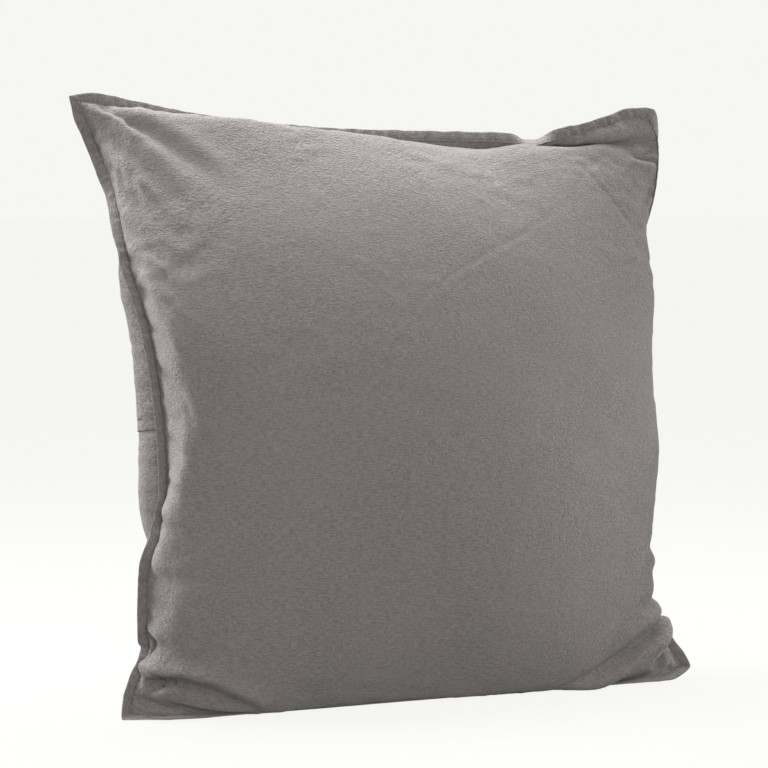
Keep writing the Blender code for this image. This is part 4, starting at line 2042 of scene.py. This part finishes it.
@dataclass
class Studio:
    """A pale floor, soft light and the camera."""

    azimuth: float = math.radians(-25.5)
    elevation: float = math.radians(3.6)
    distance: float = 3.30
    lens: float = 158.0
    target: tuple[float, float, float] = (-0.015, 0.0, 0.306)
    paper: Color = (0.922, 0.922, 0.905, 1.0)
    ambient: float = 0.335
    fill_color: Color = (1.0, 0.99, 0.98, 1.0)
    floor_size: float = 30.0
    floor_base: Color = (0.05, 0.05, 0.05, 1.0)
    # How strongly the floor lights the pillow, and how much stronger it looks to the camera.
    floor_glow: float = 0.20
    floor_extra: float = 0.77

    def build_floor(self) -> None:
        """A wide pale floor."""
        work = bmesh.new()
        bmesh.ops.create_grid(work, x_segments=2, y_segments=2, size=self.floor_size)
        floor = finish_mesh("studio_floor", work)
        material = bpy.data.materials.new("Pale floor")
        material.use_nodes = True
        shader = material.node_tree.nodes["Principled BSDF"]
        shader.inputs["Base Color"].default_value = self.floor_base
        shader.inputs["Roughness"].default_value = 1.0
        shader.inputs["Specular IOR Level"].default_value = 0.0
        g = Graph(material.node_tree)
        path = g.add("ShaderNodeLightPath")
        shader.inputs["Emission Color"].default_value = self.paper
        seen = path.outputs["Is Camera Ray"]
        glow = g.math("MULTIPLY_ADD", seen, self.floor_extra, self.floor_glow)
        g.link(glow, shader.inputs["Emission Strength"])
        floor.data.materials.append(material)

    def build_world(self) -> None:
        """Pale surroundings: paper to the eye, and a weaker even light on the pillow."""
        world = bpy.data.worlds.new("Studio")
        bpy.context.scene.world = world
        world.use_nodes = True
        g = Graph(world.node_tree)
        seen = world.node_tree.nodes["Background"]
        seen.inputs["Color"].default_value = self.paper
        fill = g.add("ShaderNodeBackground")
        fill.inputs["Color"].default_value = self.fill_color
        fill.inputs["Strength"].default_value = self.ambient
        mixer = g.add("ShaderNodeMixShader")
        path = g.add("ShaderNodeLightPath")
        g.link(path.outputs["Is Camera Ray"], mixer.inputs[0])
        g.link(fill.outputs[0], mixer.inputs[1])
        g.link(seen.outputs[0], mixer.inputs[2])
        g.link(mixer.outputs[0], world.node_tree.nodes["World Output"].inputs["Surface"])

    def build_camera(self) -> None:
        """The camera, front and to the left."""
        data = bpy.data.cameras.new("Camera")
        data.lens = self.lens
        data.sensor_width = 36.0
        data.clip_end = 200.0
        camera = bpy.data.objects.new("Camera", data)
        bpy.context.scene.collection.objects.link(camera)
        level = math.cos(self.elevation)
        away = Vector(
            (math.sin(self.azimuth) * level, -math.cos(self.azimuth) * level, math.sin(self.elevation))
        )
        camera.location = Vector(self.target) + away * self.distance
        camera.rotation_euler = (-away).to_track_quat("-Z", "Y").to_euler()
        bpy.context.scene.camera = camera

    def build(self) -> None:
        """Builds the whole studio."""
        self.build_floor()
        self.build_world()
        lights = (
            SoftBox("Overhead", (-0.1, 0.55, 2.0), (0.0, 0.0, 0.40), (1.6, 0.9), 64.0),
            SoftBox("Left back", (-1.7, 0.9, 0.9), (-0.2, 0.05, 0.3), (0.9, 1.4), 47.0),
            SoftBox("Front fill", (-1.0, -2.8, 0.8), (0.0, 0.0, 0.25), (1.6, 1.4), 34.0),
            SoftBox("Right rim", (1.8, -0.1, 0.7), (0.25, 0.0, 0.25), (0.6, 1.2), 17.0),
        )
        for light in lights:
            light.build()
        self.build_camera()
        bpy.context.scene.view_settings.view_transform = "Standard"


# ---------------------------------------------------------------------------------------------------
# Everything together


FRONT_EASINGS = (
    Easing(Side.BOTTOM, 0.26, 0.12, 60),
    Easing(Side.RIGHT, 0.24, 0.14, 60, 0.9),
    Easing(Side.LEFT, 0.16, 0.22, 12, 0.6),
    Easing(Side.TOP, 0.12, 0.20, 20, 0.6),
)
BACK_EASINGS = (
    Easing(Side.BOTTOM, 0.20, 0.12, 40),
    Easing(Side.LEFT, 0.20, 0.14, 50),
    Easing(Side.RIGHT, 0.16, 0.16, 12, 0.6),
    Easing(Side.TOP, 0.12, 0.20, 20, 0.6),
)
MIDDLE_CALMING = Calming(0.030, 0.090, 60)
FRONT_BULGES = (
    SideBulge(Side.RIGHT, 0.052, 0.045, (-0.76, -0.14, 0.24, 0.84)),
    SideBulge(Side.TOP, 0.012, 0.045, (0.32, 0.52, 0.78, 0.95)),
)
FRONT_SLACK = SideBulge(Side.TOP, -0.0035, 0.035, (-0.55, -0.30, 0.15, 0.40))
BACK_BULGE = SideBulge(Side.LEFT, 0.034, 0.040, (-0.72, -0.28, 0.35, 0.72))
FRONT_CREASES = (
    # Long faint creases across the upper right.
    Crease(((0.205, 0.205), (0.115, 0.160), (0.018, 0.112), (-0.105, 0.020)), 0.0005, 0.0026, 0.0003),
    Crease(((0.270, 0.150), (0.200, 0.118), (0.120, 0.090)), 0.0007, 0.0022, 0.0004),
    Crease(((0.262, 0.262), (0.220, 0.238), (0.190, 0.205), (0.170, 0.160)), 0.0007, 0.0024, 0.0004),
    Crease(((0.200, 0.262), (0.235, 0.215), (0.275, 0.155)), 0.0007, 0.0024, 0.0004),
    # The folded-over lower-left ear.
    Crease(
        (
            (-0.316, -0.287), (-0.290, -0.261), (-0.270, -0.254),
            (-0.242, -0.256), (-0.213, -0.268), (-0.180, -0.288),
        ),
        0.0085, 0.0065, 0.0125, (0.02, 0.30),
    ),
    Crease(
        ((-0.316, -0.290), (-0.290, -0.265), (-0.270, -0.258), (-0.242, -0.260), (-0.213, -0.272)),
        0.0060, 0.0030, 0.0030, (0.02, 0.40),
    ),
    Crease(((-0.316, -0.238), (-0.288, -0.224), (-0.262, -0.226)), 0.0030, 0.0065, 0.0025, (0.02, 0.6)),
    Crease(((-0.316, -0.262), (-0.285, -0.246), (-0.240, -0.238)), 0.0018, 0.0060, 0.0010, (0.02, 0.6)),
    # The notch half way up the left side.
    Crease(((-0.310, -0.122), (-0.284, -0.122), (-0.256, -0.140)), 0.0035, 0.0075, 0.0030, (0.02, 0.7)),
    # The two folds above the lower-right ear.
    Crease(
        (
            (0.312, -0.242), (0.285, -0.249), (0.258, -0.256),
            (0.227, -0.266), (0.195, -0.276), (0.140, -0.290),
        ),
        0.0105, 0.0065, 0.0095, (0.02, 0.45),
    ),
    Crease(
        ((0.312, -0.245), (0.285, -0.252), (0.258, -0.259), (0.227, -0.269), (0.195, -0.279)),
        0.0050, 0.0030, 0.0025, (0.02, 0.50),
    ),
    Crease(
        ((0.312, -0.222), (0.286, -0.228), (0.262, -0.226), (0.229, -0.232), (0.190, -0.246)),
        0.0060, 0.0065, 0.0060, (0.02, 0.45),
    ),
    # Soft folds that run down from the upper-left ear.
    Crease(
        ((-0.302, 0.302), (-0.283, 0.262), (-0.256, 0.214), (-0.236, 0.175)),
        0.0042, 0.0095, 0.0030, (0.15, 0.55),
    ),
    Crease(
        ((-0.285, 0.298), (-0.246, 0.268), (-0.214, 0.232), (-0.190, 0.196)),
        0.0036, 0.0095, 0.0026, (0.15, 0.55),
    ),
    # Soft folds that run down from the upper-right ear.
    Crease(
        ((0.300, 0.300), (0.262, 0.286), (0.205, 0.280), (0.150, 0.284)),
        0.0026, 0.0080, 0.0020, (0.10, 0.55),
    ),
    # Slanting drags beside the left seam.
    Crease(((-0.312, 0.236), (-0.288, 0.212), (-0.262, 0.176)), 0.0026, 0.0055, 0.0022, (0.05, 0.6)),
    Crease(((-0.312, 0.190), (-0.286, 0.160), (-0.258, 0.118)), 0.0030, 0.0060, 0.0026, (0.05, 0.6)),
    Crease(((-0.312, 0.152), (-0.288, 0.132), (-0.266, 0.100)), 0.0018, 0.0040, 0.0016, (0.05, 0.6)),
    Crease(((-0.312, 0.122), (-0.284, 0.090), (-0.260, 0.046)), 0.0028, 0.0060, 0.0024, (0.05, 0.6)),
    Crease(((-0.312, 0.080), (-0.290, 0.060), (-0.268, 0.020)), 0.0018, 0.0045, 0.0014, (0.05, 0.6)),
    Crease(((-0.312, 0.036), (-0.282, 0.006), (-0.262, -0.044)), 0.0024, 0.0055, 0.0020, (0.05, 0.6)),
    Crease(((-0.312, -0.030), (-0.288, -0.050), (-0.264, -0.086)), 0.0020, 0.0050, 0.0016, (0.05, 0.6)),
    Crease(((-0.312, -0.078), (-0.286, -0.090), (-0.250, -0.108)), 0.0020, 0.0050, 0.0016, (0.05, 0.6)),
    Crease(((-0.312, -0.170), (-0.280, -0.164), (-0.240, -0.150)), 0.0020, 0.0060, 0.0016, (0.05, 0.6)),
    # Slanting drags beside the right seam.
    Crease(((0.312, 0.236), (0.284, 0.206), (0.250, 0.168)), 0.0020, 0.0060, 0.0016, (0.05, 0.6)),
    Crease(((0.312, -0.170), (0.280, -0.176), (0.240, -0.196)), 0.0022, 0.0070, 0.0018, (0.05, 0.6)),
)


def main() -> None:
    """Builds the pillow and its studio."""
    logging.basicConfig(level=logging.INFO, format="%(name)s: %(message)s")
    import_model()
    sizes = CoverSizes()
    outline = SeamOutline(sizes)
    front_points, back_points = FilledCover(sizes, outline).swell()
    for easing in FRONT_EASINGS:
        front_points = easing.applied(front_points, sizes.half)
    for easing in BACK_EASINGS:
        back_points = easing.applied(back_points, sizes.half)
    front_points = FRONT_SLACK.applied(MIDDLE_CALMING.applied(front_points, sizes.half), sizes.half)
    back_points = MIDDLE_CALMING.applied(back_points, sizes.half)
    insides = [
        PanelSurface(face, sizes, points)
        for face, points in ((Face.FRONT, front_points), (Face.BACK, back_points))
    ]
    for bulge in FRONT_BULGES:
        front_points = bulge.applied(front_points, sizes.half)
    back_points = BACK_BULGE.applied(back_points, sizes.half)
    front = PanelSurface(Face.FRONT, sizes, front_points, FRONT_CREASES, seed=11)
    back = PanelSurface(Face.BACK, sizes, back_points, (), seed=47)
    finishes = Finishes()
    finishes.make()
    panels = CoverPanels(sizes, front, back, finishes)
    panels.build()
    frame = SeamFrame(sizes, outline, front, back)
    frame.build()
    flange = Flange(sizes, frame, finishes)
    flange.build()
    Stitching(sizes, frame, back, finishes, flange, panels).build()
    Insert(sizes, *insides, finishes).build()
    Studio().build()


if __name__ == "__main__":
    main()
